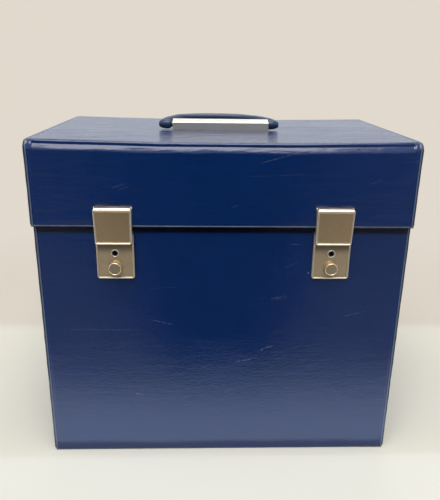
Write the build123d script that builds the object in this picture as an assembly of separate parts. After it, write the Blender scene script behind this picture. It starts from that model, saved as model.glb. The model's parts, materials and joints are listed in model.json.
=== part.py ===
"""Record carrying case: a vinyl-covered board box with a deep hinged lid, two push-button locks and a
folding handle.

Millimetres. X runs along the width, +Y to the back (the hinge), +Z up. The origin is the middle of the base,
midway between the frontmost face of the locks and the back face of the hinge strip.
"""
from build123d import *
from math import cos, radians, sin
import os

os.makedirs("parts", exist_ok=True)

# ---------------------------------------------------------------- driving dimensions: the case
LID_WIDTH = 353.4             # over the welded side seams
LID_DEPTH = 218.5             # front skin to back skin
CASE_HEIGHT = 326.6           # base to the lid's upper edges
LID_EDGE_Z = 247.5            # lowest edge of the closed lid
LID_SIDE_OVERHANG = 1.5       # how far the lid stands out beyond the body, each side
LID_FRONT_OVERHANG = 3.4      # the same at the front
LID_SEAT_GAP = 0.3            # air between the body's rim and the lid's edge
TOP_DIP = 2.1                 # the top panel is this much lower in its middle than at its edges
DIP_MARGIN = 6.0              # the top panel is level from the handle's ends to this far beyond them
FRONT_ROUND = 8.0             # round of the lid's front top edge
BACK_ROUND = 3.0              # round of the lid's back top edge
GROOVE_DROP = 3.0             # weld groove along the front round, below the top panel
GROOVE_WIDTH = 1.2
GROOVE_DEPTH = 0.45
GROOVE_END = 6.5              # groove's ends short of the side panels

SKIN = 0.8                    # outer vinyl
BOARD_EASE = 1.2              # the boards' corners are rounded off this much more than the skin over them
BOARD = 2.2                   # greyboard panels
INNER_BOARD = 2.0             # inner boards of the body, which rise into the lid
LINING = 0.5                  # lining paper
COLLAR_RISE = 14.0            # how far the inner boards stand above the body's rim
COLLAR_BACK_GAP = 2.0         # from the inner side boards' ends to the lid's back lining

SEAM_PROUD = 1.6              # welded seam beyond the side panel
SEAM_BAND = 2.0               # width of the seam's band, seen from the side
SEAM_SETBACK = 0.8            # seam's front edge behind the front skin
SEAM_LIFT = 0.3               # body seam above the ground
SEAM_CORNER = 3.0             # round of the body seam's lower corners
RIM_SEAM_HEIGHT = 1.5         # welded flange along the lid's lower edge
RIM_SEAM_THICK = 1.2

STRIP_THICK = 0.8             # vinyl strip that is the lid's hinge
STRIP_END_GAP = 8.8           # strip's ends short of the body's sides
STRIP_BELOW = 11.0            # strip below and above the hinge line
STRIP_ABOVE = 11.0

# ---------------------------------------------------------------- driving dimensions: the handle
HANDLE_X = -1.4               # the handle sits a little left of the middle
CHANNEL_LENGTH = 100.2
CHANNEL_DEPTH = 10.4
CHANNEL_FRONT_RISE = 2.5      # channel's front and back upper edges above the rod's axis
CHANNEL_BACK_RISE = 5.6
CHANNEL_SHEET = 1.0
CHANNEL_BEND = 1.3            # outer bend radius
WEB_THICK = 2.4               # the two bearing webs inside the channel
WEB_INSET = 4.0               # web centre from the channel's end
PRONG_WIDTH = 10.0
PRONG_INSET = 18.0            # prong centre from the channel's end
PRONG_GAP = 1.6               # between the bent-in ends of facing prongs
PRONG_CLEARANCE = 0.2
HANDLE_PLATE_INSET = 9.0      # backing plate's end from the channel's end
HANDLE_PLATE_HALF_DEPTH = 9.0
HANDLE_PLATE_THICK = 1.0
ROD_RADIUS = 2.0
ROD_END_INSET = 8.0           # length of rod inside each pointed end
RUNNING_CLEARANCE = 0.06
GRIP_TILT = 6.0               # degrees that the folded grip stands above level
GRIP_REACH = 40.5             # rod axis to the middle of the grip
GRIP_SHOULDER = 34.5
GRIP_TAPER = 6.2              # shoulder's corner nearer the middle than the arm, each side
GRIP_ARM = 10.0               # straight start of each arm
GRIP_ARM_ROUND = 40.0
GRIP_SHOULDER_ROUND = 24.0
GRIP_CROWN_ROUND = 180.0
GRIP_HALF_WIDTH = 4.4         # in the plane of the loop
GRIP_HALF_THICK = 4.7         # across it
BULB_RADIUS = 4.9
BULB_TOP_GAP = 0.6            # bulb above the top panel
BULB_GAP = 0.35               # between the channel's end and the grip's bulb
BULB_STRAIGHT = 7.5
BULB_LENGTH = 13.0
BULB_TIP_RADIUS = 2.0
BULB_FULLNESS = 0.75          # 0.5 would be a plain cone
ARM_GAP = 0.8                 # between the channel's end and the grip's arm

# ---------------------------------------------------------------- driving dimensions: the locks
LATCH_HALF_SPACING = 101.2
LATCH_HALF_WIDTH = 17.2
LATCH_SHEET = 0.9
LOCK_BELOW_EDGE = 3.6         # lock plate's upper end below the lid's edge
LOCK_PROUD = 3.8
LOCK_CORNER = 2.4
FACE_BORDER = 1.5             # raised border of the lock's and the hasp's faces
FACE_RECESS = 0.25
EDGE_SOFTEN = 0.5
BUTTON_FACE_RADIUS = 5.9
BUTTON_BASE_RADIUS = 7.1
BUTTON_PROUD = 6.0
BUTTON_TRAVEL = 2.3
BUTTON_LEDGE = 0.9            # flange beyond the button's base
BUTTON_FLANGE = 1.0
BUTTON_FOOT_GAP = 0.8         # flange to the pan's lower wall
BUTTON_HOLE_GAP = 0.12
BUTTON_STEM_RADIUS = 1.8
BUTTON_STEM_GAP = 0.14        # stem to the pan when the button is pressed home
BUTTON_RIM = 0.7
PLUG_RADIUS = 2.9
PLUG_LEDGE = 0.6              # flange beyond the plug
PLUG_FLANGE = 1.0
PLUG_RECESS = 0.1
PLUG_TAIL_GAP = 0.4           # plug's tail to the catch slide
KEY_BELOW_HASP = 9.3          # key axis under the hasp's lower end
KEYWAY_RADIUS = 1.55
KEYWAY_POST = 0.6
KEYWAY_SLOT = 1.2
KEYWAY_DEPTH = 2.6
KEYWAY_WALL = 0.2             # left under the slot
CAM_THICK = 1.0
CAM_REACH = 5.2
CAM_WIDTH = 2.4
CAM_GAP = 0.5                 # cam's tip to the button's flange
DISH = 0.5                    # chamfer round the key hole
PAN_SIDE_MARGIN = 3.9         # lock base pan, let into the front board, inside the lock plate's outline
PAN_LOW_MARGIN = 1.6
PAN_HIGH_MARGIN = 3.2
PAN_CLEARANCE = 0.15
STUD_RADIUS = 1.5
STUD_HEAD_RADIUS = 2.5
STUD_HEAD = 0.8
STUD_CLEARANCE = 0.1
STUD_SIDE_INSET = 2.5         # stud axes inside the pan's sides and ends
STUD_END_INSET = 3.3
BACKING_THICK = 1.0           # backing plate inside the case
BACKING_SIDE_MARGIN = 1.4
BACKING_END_MARGIN = 3.0

SLIDE_THICK = 1.0
SLIDE_SIDE_GAP = 1.5          # slide to the studs
SLIDE_FORK_GAP = 0.95         # fork to the button's spring, at the sides and, pressed home, above
SLIDE_END_GAP = 2.0           # slide's legs to the pan's lower wall when lowered
SLIDE_LEG_STEP = 9.2          # the leg over the catch spring is this much shorter
SLIDE_KEY_GAP = 1.1           # lowered joggle to the plug's flange
SLIDE_JOG = 1.0
SLIDE_BACK_GAP = 0.3          # slide to the pan's back
NOSE_HALF_WIDTH = 5.0
NOSE_THICK = 0.9
NOSE_DROP = 0.7               # nose under the hook's lip
NOSE_FRONT_GAP = 0.4

SPRING_END_GAP = 0.1
BUTTON_SPRING_RADIUS = 2.65
BUTTON_SPRING_WIRE = 0.28
BUTTON_SPRING_TURNS = 3.0
CATCH_SPRING_RADIUS = 0.55
CATCH_SPRING_WIRE = 0.2
CATCH_SPRING_TURNS = 7.0

# ---------------------------------------------------------------- driving dimensions: the hasps
HASP_BELOW_EDGE = 15.7        # hasp's lower end below the lid's edge
HASP_PIN_RISE = 18.7          # pin axis above the lid's edge
HASP_PROUD = 8.0              # at its top, from the lid's front
HASP_FOOT_PROUD = 4.2         # at its bottom
HASP_SHOULDER_DROP = 1.4      # upper end of its flat face below the pin axis
HASP_ROOF_DROP = 1.0
HASP_ROUND = 1.2
HASP_CORNER = 2.0
HASP_LOCK_GAP = 0.35          # hasp to the lock plate
HASP_LID_GAP = 0.3            # barrel to the lid's front
HASP_PIN_RADIUS = 0.75
HASP_BARREL_RADIUS = 1.3
HASP_KNUCKLE_HALF = 6.0       # half length of the base's middle knuckle
HASP_KNUCKLE_GAP = 0.2
HASP_ROOF_GAP = 0.3
BASE_THICK = 0.8
BASE_SIDE_MARGIN = 3.4        # base plate inside the hasp's width
BASE_RISE = 2.5               # base plate's lower end above the lid's edge
BASE_TOP_GAP = 0.8            # base plate's top below the barrels
HASP_RIVET_RADIUS = 1.5
HASP_RIVET_HEAD_RADIUS = 2.3
HASP_RIVET_HEAD = 0.6
HASP_RIVET_INSET = 4.5        # rivet axis inside the base plate's side
HASP_RIVET_RISE = 9.0         # rivet axis above the lid's edge
HASP_PLATE_THICK = 0.8
HASP_PLATE_HALF_HEIGHT = 5.5
HOOK_HALF_WIDTH = 6.0
HOOK_SHEET = 0.9
HOOK_STEM_RISE = 2.5          # hook's upper end above the lid's edge
HOOK_TONGUE_RISE = 4.3        # tongue, lip and notch above the hasp's lower end
HOOK_TONGUE = 1.0
HOOK_LIP_RISE = 2.1
HOOK_LIP = 0.8
HOOK_BACK_GAP = 0.4           # hook's lip to the body's front skin
NOTCH_SIDE_GAP = 1.0
NOTCH_RISE = 0.7

# ---------------------------------------------------------------- planes that follow from them
OVERALL_DEPTH = HASP_PROUD + LID_DEPTH + STRIP_THICK
LID_FRONT = -OVERALL_DEPTH / 2 + HASP_PROUD
BACK = LID_FRONT + LID_DEPTH
BODY_FRONT = LID_FRONT + LID_FRONT_OVERHANG
LID_SIDE = LID_WIDTH / 2 - SEAM_PROUD                       # outer face of the lid's side panel
BODY_SIDE = LID_WIDTH / 2 - LID_SIDE_OVERHANG - SEAM_PROUD  # outer face of the body's side panel
RIM_Z = LID_EDGE_Z - LID_SEAT_GAP
LID_WALL_Z = LID_EDGE_Z + RIM_SEAM_HEIGHT
MID_TOP_Z = CASE_HEIGHT - TOP_DIP
WALL = SKIN + BOARD
COLLAR_Z = RIM_Z + COLLAR_RISE
COLLAR_BACK = BACK - WALL - LINING - COLLAR_BACK_GAP
FLOOR_Z = SKIN + BOARD
CAVITY_SIDE = BODY_SIDE - WALL - INNER_BOARD
CAVITY_FRONT = BODY_FRONT + WALL + INNER_BOARD
CAVITY_BACK = BACK - WALL
STRIP_HALF_LENGTH = BODY_SIDE - STRIP_END_GAP

PIVOT_Z = MID_TOP_Z + BULB_TOP_GAP + BULB_RADIUS            # rod axis
CHANNEL_FRONT_Z = PIVOT_Z + CHANNEL_FRONT_RISE
CHANNEL_BACK_Z = PIVOT_Z + CHANNEL_BACK_RISE
CHANNEL_HALF = CHANNEL_LENGTH / 2
DIP_FLAT = abs(HANDLE_X) + CHANNEL_HALF + DIP_MARGIN        # half length of the top panel's level middle
PRONG_OFFSET = CHANNEL_HALF - PRONG_INSET
ARM_X = CHANNEL_HALF + ARM_GAP + GRIP_HALF_WIDTH            # middle line of each arm from the handle's middle

HASP_BOTTOM_Z = LID_EDGE_Z - HASP_BELOW_EDGE
HASP_PIN_Z = LID_EDGE_Z + HASP_PIN_RISE
HASP_PIN_Y = LID_FRONT - HASP_LID_GAP - HASP_BARREL_RADIUS
HASP_SHOULDER_Z = HASP_PIN_Z - HASP_SHOULDER_DROP
BASE_HALF_WIDTH = LATCH_HALF_WIDTH - BASE_SIDE_MARGIN
BASE_LOW_Z = LID_EDGE_Z + BASE_RISE
HASP_RIVET_OFFSET = BASE_HALF_WIDTH - HASP_RIVET_INSET
HASP_RIVET_Z = LID_EDGE_Z + HASP_RIVET_RISE
HASP_PLATE_Y = LID_FRONT + WALL + LINING
HOOK_TONGUE_Z = HASP_BOTTOM_Z + HOOK_TONGUE_RISE
HOOK_LIP_Z = HASP_BOTTOM_Z + HOOK_LIP_RISE
NOTCH_Z = HASP_BOTTOM_Z + NOTCH_RISE

BUTTON_FLANGE_RADIUS = BUTTON_BASE_RADIUS + BUTTON_LEDGE
PLUG_FLANGE_RADIUS = PLUG_RADIUS + PLUG_LEDGE
KEY_Z = HASP_BOTTOM_Z - KEY_BELOW_HASP
BUTTON_Z = KEY_Z - CAM_REACH - CAM_GAP - BUTTON_FLANGE_RADIUS
PAN_LOW_Z = BUTTON_Z - BUTTON_FLANGE_RADIUS - BUTTON_FOOT_GAP - LATCH_SHEET
LOCK_LOW_Z = PAN_LOW_Z - PAN_LOW_MARGIN
LOCK_HIGH_Z = LID_EDGE_Z - LOCK_BELOW_EDGE
PAN_HIGH_Z = LOCK_HIGH_Z - PAN_HIGH_MARGIN
PAN_HALF_WIDTH = LATCH_HALF_WIDTH - PAN_SIDE_MARGIN
LOCK_FACE = BODY_FRONT - LOCK_PROUD
LOCK_INNER = LOCK_FACE + LATCH_SHEET
HASP_BACK = LOCK_FACE - HASP_LOCK_GAP
PAN_BACK = BODY_FRONT + WALL                                # outer face of the pan's back sheet
PAN_FLOOR = PAN_BACK - LATCH_SHEET
STUD_OFFSET = PAN_HALF_WIDTH - STUD_SIDE_INSET
STUD_LOW_Z = PAN_LOW_Z + STUD_END_INSET
STUD_HIGH_Z = PAN_HIGH_Z - STUD_END_INSET
LOCK_BACKING_Y = CAVITY_FRONT + LINING
FLANGE_Y = LOCK_INNER + RUNNING_CLEARANCE                   # front of the button's and the plug's flanges
SLIDE_BACK = PAN_FLOOR - SLIDE_BACK_GAP
SLIDE_FRONT = SLIDE_BACK - SLIDE_THICK
SLIDE_HALF_WIDTH = STUD_OFFSET - STUD_RADIUS - SLIDE_SIDE_GAP
SLIDE_FORK_HALF = BUTTON_SPRING_RADIUS + BUTTON_SPRING_WIRE + SLIDE_FORK_GAP
SLIDE_FORK_Z = BUTTON_Z + SLIDE_FORK_HALF + BUTTON_TRAVEL
SLIDE_LOW_Z = PAN_LOW_Z + LATCH_SHEET + SLIDE_END_GAP + BUTTON_TRAVEL
SLIDE_LEG_Z = SLIDE_LOW_Z + SLIDE_LEG_STEP
SLIDE_JOG_Z = KEY_Z + PLUG_FLANGE_RADIUS + SLIDE_KEY_GAP + BUTTON_TRAVEL
NOSE_FRONT = LOCK_INNER + NOSE_FRONT_GAP
NOSE_TOP_Z = HOOK_LIP_Z - NOSE_DROP

FAR = 50.0                                                  # a cutter's reach where nothing else stands
PAST = 1.0                                                  # a cutter's reach past the face it opens
NEAR = 0.01                                                 # how near a face or edge counts as found


# ---------------------------------------------------------------- helpers
def block(x0, x1, y0, y1, z0, z1):
    """A box between two corners."""
    return Pos((x0 + x1) / 2, (y0 + y1) / 2, (z0 + z1) / 2) * Box(x1 - x0, y1 - y0, z1 - z0)


def prism_x(points, x0, x1):
    """A closed outline of (y, z) points, drawn from x0 to x1."""
    face = make_face(Polyline(*points, close=True))
    return extrude(Plane.YZ.offset(x0) * face, x1 - x0)


def prism_y(points, y0, y1):
    """A closed outline of (x, z) points, drawn from y0 to y1."""
    face = make_face(Polyline(*points, close=True))
    return extrude(Plane.XZ.offset(-y1) * face, y1 - y0)


def rod_x(radius, x0, x1, y, z):
    """A cylinder along X."""
    return extrude(Plane(origin=(x0, y, z), z_dir=(1, 0, 0)) * Circle(radius), x1 - x0)


def rod_y(radius, x, z, y0, y1):
    """A cylinder along Y."""
    return extrude(Plane(origin=(x, y0, z), z_dir=(0, 1, 0)) * Circle(radius), y1 - y0)


def turned_y(points, x, z):
    """A body turned about the line along Y through (x, z), from a closed outline of (y, radius) points."""
    outline = Polyline(*[(x + radius, y, z) for y, radius in points], close=True)
    return revolve(make_face(outline), Axis((x, 0, z), (0, 1, 0)), 360)


def coil(start, direction, radius, wire, length, turns):
    """A round-wire compression spring of the given height."""
    path = Plane(origin=start, z_dir=direction) * Helix(pitch=length / turns, height=length, radius=radius)
    section = Plane(origin=path @ 0, z_dir=path % 0) * Circle(wire)
    return sweep(section, path=path, is_frenet=True)


def save(name, shape):
    """Writes one node."""
    export_step(shape, f"parts/{name}.step")


# ---------------------------------------------------------------- the lid's form
def top_z(x, inset):
    """Height of the top panel at a distance x from the middle, lowered by inset."""
    beyond = max(0.0, abs(x) - DIP_FLAT)
    slope = TOP_DIP / (LID_WIDTH / 2 - DIP_FLAT)
    return MID_TOP_Z + slope * beyond - inset


def lid_form(half_width, inset, front_round, back_round):
    """The lid as a solid block, drawn in by inset at the front, back and top; a round of 0 is sharp."""
    level = top_z(0, inset)
    edge = top_z(half_width, inset)
    outline = [(-half_width, LID_WALL_Z), (half_width, LID_WALL_Z), (half_width, edge),
               (DIP_FLAT, level), (-DIP_FLAT, level), (-half_width, edge)]
    form = prism_y(outline, LID_FRONT + inset, BACK - inset)
    for y, radius in ((LID_FRONT + inset, front_round), (BACK - inset, back_round)):
        edges = [e for e in form.edges() if abs(e.center().Y - y) < NEAR and e.center().Z > level - NEAR
                 and e.length > DIP_FLAT]
        form = fillet(edges, radius) if radius else form
    return form


def side_outline(inset, x0, x1):
    """The lid's side view as a plate from x0 to x1, drawn in by inset all round but below."""
    high = CASE_HEIGHT - inset
    plate = block(x0, x1, LID_FRONT + inset, BACK - inset, LID_WALL_Z, high)
    for y, radius in ((LID_FRONT + inset, FRONT_ROUND), (BACK - inset, BACK_ROUND)):
        edges = [e for e in plate.edges() if abs(e.center().Y - y) < NEAR and abs(e.center().Z - high) < NEAR]
        plate = fillet(edges, max(radius - inset, SKIN))
    return plate


def prong_sheet(sy):
    """The y limits of the channel's front or back sheet, and of its prongs."""
    return sorted((sy * CHANNEL_DEPTH / 2, sy * (CHANNEL_DEPTH / 2 - CHANNEL_SHEET)))


def prong_slots():
    """Cutters for the handle's four prongs, two each side of the rod."""
    cutters = []
    room = PRONG_CLEARANCE
    for sx in (-1, 1):
        x = HANDLE_X + sx * PRONG_OFFSET
        for sy in (-1, 1):
            low, high = prong_sheet(sy)
            cutters.append(block(x - PRONG_WIDTH / 2 - room, x + PRONG_WIDTH / 2 + room, low - room,
                                 high + room, MID_TOP_Z - FAR / 2, MID_TOP_Z + PAST))
    return cutters


def groove(half_width):
    """Cutter for the weld groove that runs along the lid's front round and follows the dip of the top."""
    end = half_width - GROOVE_END
    across = [-end, -DIP_FLAT, DIP_FLAT, end]
    upper = [(x, top_z(x, GROOVE_DROP - GROOVE_WIDTH / 2)) for x in across]
    lower = [(x, top_z(x, GROOVE_DROP + GROOVE_WIDTH / 2)) for x in reversed(across)]
    slab = prism_y(upper + lower, LID_FRONT - PAST, LID_FRONT + FRONT_ROUND / 2)
    return slab - lid_form(half_width, GROOVE_DEPTH, FRONT_ROUND - GROOVE_DEPTH, BACK_ROUND - GROOVE_DEPTH)


def hasp_rivet_holes():
    """Cutters for the rivets that hold both hasps, through the lid's front."""
    return [rod_y(HASP_RIVET_RADIUS + STUD_CLEARANCE, side * LATCH_HALF_SPACING + sx * HASP_RIVET_OFFSET,
                  HASP_RIVET_Z, LID_FRONT - FAR / 2, LID_FRONT + FAR / 2)
            for side in (-1, 1) for sx in (-1, 1)]


def build_lid():
    """Boards, skin, side panels, seams and lining of the lid."""
    skin_side = LID_SIDE - SKIN
    board_side = skin_side - BOARD
    slots = prong_slots()
    rivets = hasp_rivet_holes()
    trim = lid_form(skin_side, SKIN, FRONT_ROUND - SKIN + BOARD_EASE, BACK_ROUND - SKIN + BOARD_EASE)
    inner_front = LID_FRONT + WALL
    inner_back = BACK - WALL

    wrap = lid_form(skin_side, 0, FRONT_ROUND, BACK_ROUND)
    hollow = lid_form(skin_side + PAST, SKIN, FRONT_ROUND - SKIN, BACK_ROUND - SKIN)
    below = block(-LID_WIDTH, LID_WIDTH, LID_FRONT + SKIN, BACK - SKIN, LID_EDGE_Z, LID_WALL_Z + PAST)
    save("lid_wrap", wrap - hollow - below - groove(skin_side) - slots - rivets)

    front = block(-skin_side, skin_side, LID_FRONT + SKIN, inner_front, LID_WALL_Z, CASE_HEIGHT)
    save("lid_front_board", (front & trim) - rivets)
    back = block(-skin_side, skin_side, inner_back, BACK - SKIN, LID_WALL_Z, CASE_HEIGHT)
    save("lid_back_board", back & trim)
    for name, side in (("left", -1), ("right", 1)):
        low, high = sorted((side * board_side, side * skin_side))
        plate = block(low, high, inner_front, inner_back, LID_WALL_Z, CASE_HEIGHT)
        save(f"lid_{name}_board", plate & trim)
    middle = block(-board_side, board_side, inner_front, inner_back, LID_WALL_Z, CASE_HEIGHT)
    under = lid_form(board_side + PAST, WALL, 0, 0)
    save("lid_top_board", (middle & trim) - under - slots)

    for name, side in (("left", -1), ("right", 1)):
        low, high = sorted((side * skin_side, side * LID_SIDE))
        save(f"lid_{name}_cover", side_outline(0, low, high))
        low, high = sorted((side * LID_SIDE, side * (LID_SIDE + SEAM_PROUD)))
        band = SEAM_SETBACK + SEAM_BAND
        inside = side_outline(band, low - PAST, high + PAST)
        opening = block(low - PAST, high + PAST, LID_FRONT + band, BACK - band, LID_EDGE_Z, LID_WALL_Z + PAST)
        save(f"lid_{name}_seam", side_outline(SEAM_SETBACK, low, high) - inside - opening)

    save("lid_rim_seam", rim_seam())
    lining = lid_form(board_side, WALL, max(0, FRONT_ROUND - WALL), max(0, BACK_ROUND - WALL))
    drawn_in = WALL + LINING
    room = lid_form(board_side - LINING, drawn_in, max(0, FRONT_ROUND - drawn_in), max(0, BACK_ROUND - drawn_in))
    below = block(-board_side + LINING, board_side - LINING, inner_front + LINING, inner_back - LINING,
                  LID_EDGE_Z, LID_WALL_Z + PAST)
    save("lid_lining", lining - room - below - slots - rivets)


def rim_seam():
    """The welded flange under the lid's front and side walls."""
    outer = block(-LID_WIDTH / 2, LID_WIDTH / 2, LID_FRONT, BACK - SEAM_SETBACK, LID_EDGE_Z, LID_WALL_Z)
    inner = block(-LID_WIDTH / 2 + RIM_SEAM_THICK + SEAM_PROUD, LID_WIDTH / 2 - RIM_SEAM_THICK - SEAM_PROUD,
                  LID_FRONT + RIM_SEAM_THICK, BACK, LID_EDGE_Z - PAST, LID_WALL_Z + PAST)
    return outer - inner


# ---------------------------------------------------------------- the body
def lock_cutouts():
    """Cutters for both lock pans, through the front skin and board."""
    return [block(side * LATCH_HALF_SPACING - PAN_HALF_WIDTH - PAN_CLEARANCE,
                  side * LATCH_HALF_SPACING + PAN_HALF_WIDTH + PAN_CLEARANCE,
                  BODY_FRONT - PAST, PAN_BACK, PAN_LOW_Z - PAN_CLEARANCE, PAN_HIGH_Z + PAN_CLEARANCE)
            for side in (-1, 1)]


def stud_places():
    """The four studs of each lock, as (x, z)."""
    return [(side * LATCH_HALF_SPACING + sx * STUD_OFFSET, z)
            for side in (-1, 1) for sx in (-1, 1) for z in (STUD_LOW_Z, STUD_HIGH_Z)]


def stud_holes():
    """Cutters for the locks' studs."""
    return [rod_y(STUD_RADIUS + STUD_CLEARANCE, x, z, PAN_FLOOR - PAST, CAVITY_FRONT + FAR / 2)
            for x, z in stud_places()]


def body_seam(side):
    """The welded seam round a side panel: front, bottom and back."""
    low, high = sorted((side * BODY_SIDE, side * (BODY_SIDE + SEAM_PROUD)))
    front, back = BODY_FRONT + SEAM_SETBACK, BACK - SEAM_SETBACK
    outer = block(low, high, front, back, SEAM_LIFT, RIM_Z)
    lower = [e for e in outer.edges() if abs(e.center().Z - SEAM_LIFT) < NEAR and e.length < 2 * SEAM_PROUD]
    outer = fillet(lower, SEAM_CORNER)
    inner = block(low - PAST, high + PAST, front + SEAM_BAND, back - SEAM_BAND, SEAM_LIFT + SEAM_BAND,
                  RIM_Z + PAST)
    return outer - inner


def build_body():
    """Boards, skins, seams and lining of the body, and the hinge strip."""
    skin_side = BODY_SIDE - SKIN
    board_side = skin_side - BOARD
    board_top = RIM_Z - LINING
    cutouts = lock_cutouts()
    studs = stud_holes()

    save("body_bottom_cover", block(-skin_side, skin_side, BODY_FRONT, BACK, 0, SKIN))
    front_cover = block(-skin_side, skin_side, BODY_FRONT, BODY_FRONT + SKIN, SKIN, RIM_Z)
    save("body_front_cover", front_cover - cutouts)
    save("body_back_cover", block(-skin_side, skin_side, BACK - SKIN, BACK, SKIN, RIM_Z))
    save("body_bottom_board", block(-skin_side, skin_side, BODY_FRONT + SKIN, BACK - SKIN, SKIN, FLOOR_Z))
    front_board = block(-skin_side, skin_side, BODY_FRONT + SKIN, BODY_FRONT + WALL, FLOOR_Z, board_top)
    save("body_front_board", front_board - cutouts)
    save("body_back_board", block(-skin_side, skin_side, BACK - WALL, BACK - SKIN, FLOOR_Z, board_top))
    for name, side in (("left", -1), ("right", 1)):
        low, high = sorted((side * skin_side, side * BODY_SIDE))
        save(f"body_{name}_cover", block(low, high, BODY_FRONT, BACK, 0, RIM_Z))
        low, high = sorted((side * board_side, side * skin_side))
        save(f"body_{name}_board", block(low, high, BODY_FRONT + WALL, BACK - WALL, FLOOR_Z, board_top))
        save(f"body_{name}_seam", body_seam(side))

    inner_top = COLLAR_Z - LINING
    inner_front = block(-board_side, board_side, BODY_FRONT + WALL, CAVITY_FRONT, FLOOR_Z, inner_top)
    inner_sides = {}
    for name, side in (("left", -1), ("right", 1)):
        low, high = sorted((side * CAVITY_SIDE, side * board_side))
        inner_sides[name] = block(low, high, CAVITY_FRONT, COLLAR_BACK - LINING, FLOOR_Z, inner_top)
        save(f"inner_{name}_board", inner_sides[name])
    save("inner_front_board", inner_front - studs)
    save("body_lining", body_lining(board_side, [inner_front, *inner_sides.values()]) - studs)
    save("hinge_strip", block(-STRIP_HALF_LENGTH, STRIP_HALF_LENGTH, BACK, BACK + STRIP_THICK,
                              LID_EDGE_Z - STRIP_BELOW, LID_EDGE_Z + STRIP_ABOVE))


def body_lining(board_side, inner_boards):
    """One folded lining: the inside walls and floor, over the collar's top and down to the rim's ledge."""
    outer_side = board_side + LINING
    tub = block(-CAVITY_SIDE, CAVITY_SIDE, CAVITY_FRONT, CAVITY_BACK, FLOOR_Z, RIM_Z)
    tub -= block(-CAVITY_SIDE + LINING, CAVITY_SIDE - LINING, CAVITY_FRONT + LINING, CAVITY_BACK - LINING,
                 FLOOR_Z + LINING, RIM_Z + PAST)
    ledge = block(-BODY_SIDE + SKIN, BODY_SIDE - SKIN, BODY_FRONT + SKIN, BACK - SKIN, RIM_Z - LINING, RIM_Z)
    ledge -= block(-CAVITY_SIDE + LINING, CAVITY_SIDE - LINING, CAVITY_FRONT + LINING, CAVITY_BACK - LINING,
                   RIM_Z - PAST, RIM_Z + PAST)
    collar = block(-outer_side, outer_side, BODY_FRONT + WALL - LINING, COLLAR_BACK, RIM_Z, COLLAR_Z)
    collar -= block(-CAVITY_SIDE + LINING, CAVITY_SIDE - LINING, CAVITY_FRONT + LINING, BACK, RIM_Z - PAST,
                    COLLAR_Z + PAST)
    return ledge - inner_boards + (collar - inner_boards) + tub


# ---------------------------------------------------------------- the handle
def channel_outline(inset, foot):
    """Cross-section of the channel as (y, z) points, drawn in by inset, down to foot."""
    half = CHANNEL_DEPTH / 2 - inset
    return [(-half, foot), (half, foot), (half, CHANNEL_BACK_Z - inset), (-half, CHANNEL_FRONT_Z - inset)]


def channel_form(inset, foot, x0, x1, bend):
    """The channel's outline with its two bends rounded, drawn along X."""
    form = prism_x(channel_outline(inset, foot), x0, x1)
    upper = [e for e in form.edges() if e.center().Z > PIVOT_Z and e.length > x1 - x0 - NEAR]
    return fillet(upper, bend)


def build_handle():
    """Metal channel with its bearing webs and prongs, backing plate, rod and grip."""
    left, right = HANDLE_X - CHANNEL_HALF, HANDLE_X + CHANNEL_HALF
    outer = channel_form(0, MID_TOP_Z, left, right, CHANNEL_BEND)
    inner = channel_form(CHANNEL_SHEET, MID_TOP_Z - PAST, left - PAST, right + PAST,
                         CHANNEL_BEND - CHANNEL_SHEET)
    channel = outer - inner
    for sx in (-1, 1):
        x = HANDLE_X + sx * (CHANNEL_HALF - WEB_INSET)
        web = block(x - WEB_THICK / 2, x + WEB_THICK / 2, -CHANNEL_DEPTH / 2, CHANNEL_DEPTH / 2,
                    MID_TOP_Z, CHANNEL_BACK_Z)
        channel += web & outer
    plate_low = MID_TOP_Z - WALL - LINING - HANDLE_PLATE_THICK
    for sx in (-1, 1):
        x = HANDLE_X + sx * PRONG_OFFSET
        for sy in (-1, 1):
            face, back = prong_sheet(sy)
            tab_in, tab_out = sorted((sy * CHANNEL_DEPTH / 2, sy * PRONG_GAP / 2))
            channel += block(x - PRONG_WIDTH / 2, x + PRONG_WIDTH / 2, face, back,
                             plate_low - CHANNEL_SHEET, MID_TOP_Z + PAST)
            channel += block(x - PRONG_WIDTH / 2, x + PRONG_WIDTH / 2, tab_in, tab_out,
                             plate_low - CHANNEL_SHEET, plate_low)
    channel -= rod_x(ROD_RADIUS + RUNNING_CLEARANCE, left, right, 0, PIVOT_Z)
    save("handle_channel", channel)

    plate = block(left + HANDLE_PLATE_INSET, right - HANDLE_PLATE_INSET, -HANDLE_PLATE_HALF_DEPTH,
                  HANDLE_PLATE_HALF_DEPTH, plate_low, plate_low + HANDLE_PLATE_THICK)
    save("handle_backing_plate", plate - prong_slots())

    rod_end = CHANNEL_HALF + BULB_GAP + ROD_END_INSET
    rod = rod_x(ROD_RADIUS, HANDLE_X - rod_end, HANDLE_X + rod_end, 0, PIVOT_Z)
    save("handle_rod", rod)
    save("handle_grip", build_grip() - rod)


def build_grip():
    """The moulded loop: an arched bar between two arms that end in pointed bulbs on the rod."""
    tilt = radians(GRIP_TILT)
    plane = Plane(origin=(HANDLE_X, 0, PIVOT_Z), x_dir=(1, 0, 0), z_dir=(0, -sin(tilt), cos(tilt)))
    shoulder = ARM_X - GRIP_TAPER
    path = plane * FilletPolyline(
        (-ARM_X, 0), (-ARM_X, GRIP_ARM), (-shoulder, GRIP_SHOULDER), (0, GRIP_REACH),
        (shoulder, GRIP_SHOULDER), (ARM_X, GRIP_ARM), (ARM_X, 0),
        radius=(GRIP_ARM_ROUND, GRIP_SHOULDER_ROUND, GRIP_CROWN_ROUND, GRIP_SHOULDER_ROUND, GRIP_ARM_ROUND))
    across = Plane(origin=path @ 0, x_dir=plane.z_dir, z_dir=path % 0)
    grip = sweep(across * Ellipse(GRIP_HALF_THICK, GRIP_HALF_WIDTH), path=path)
    for sx in (-1, 1):
        grip += bulb(sx)
    return grip


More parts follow.
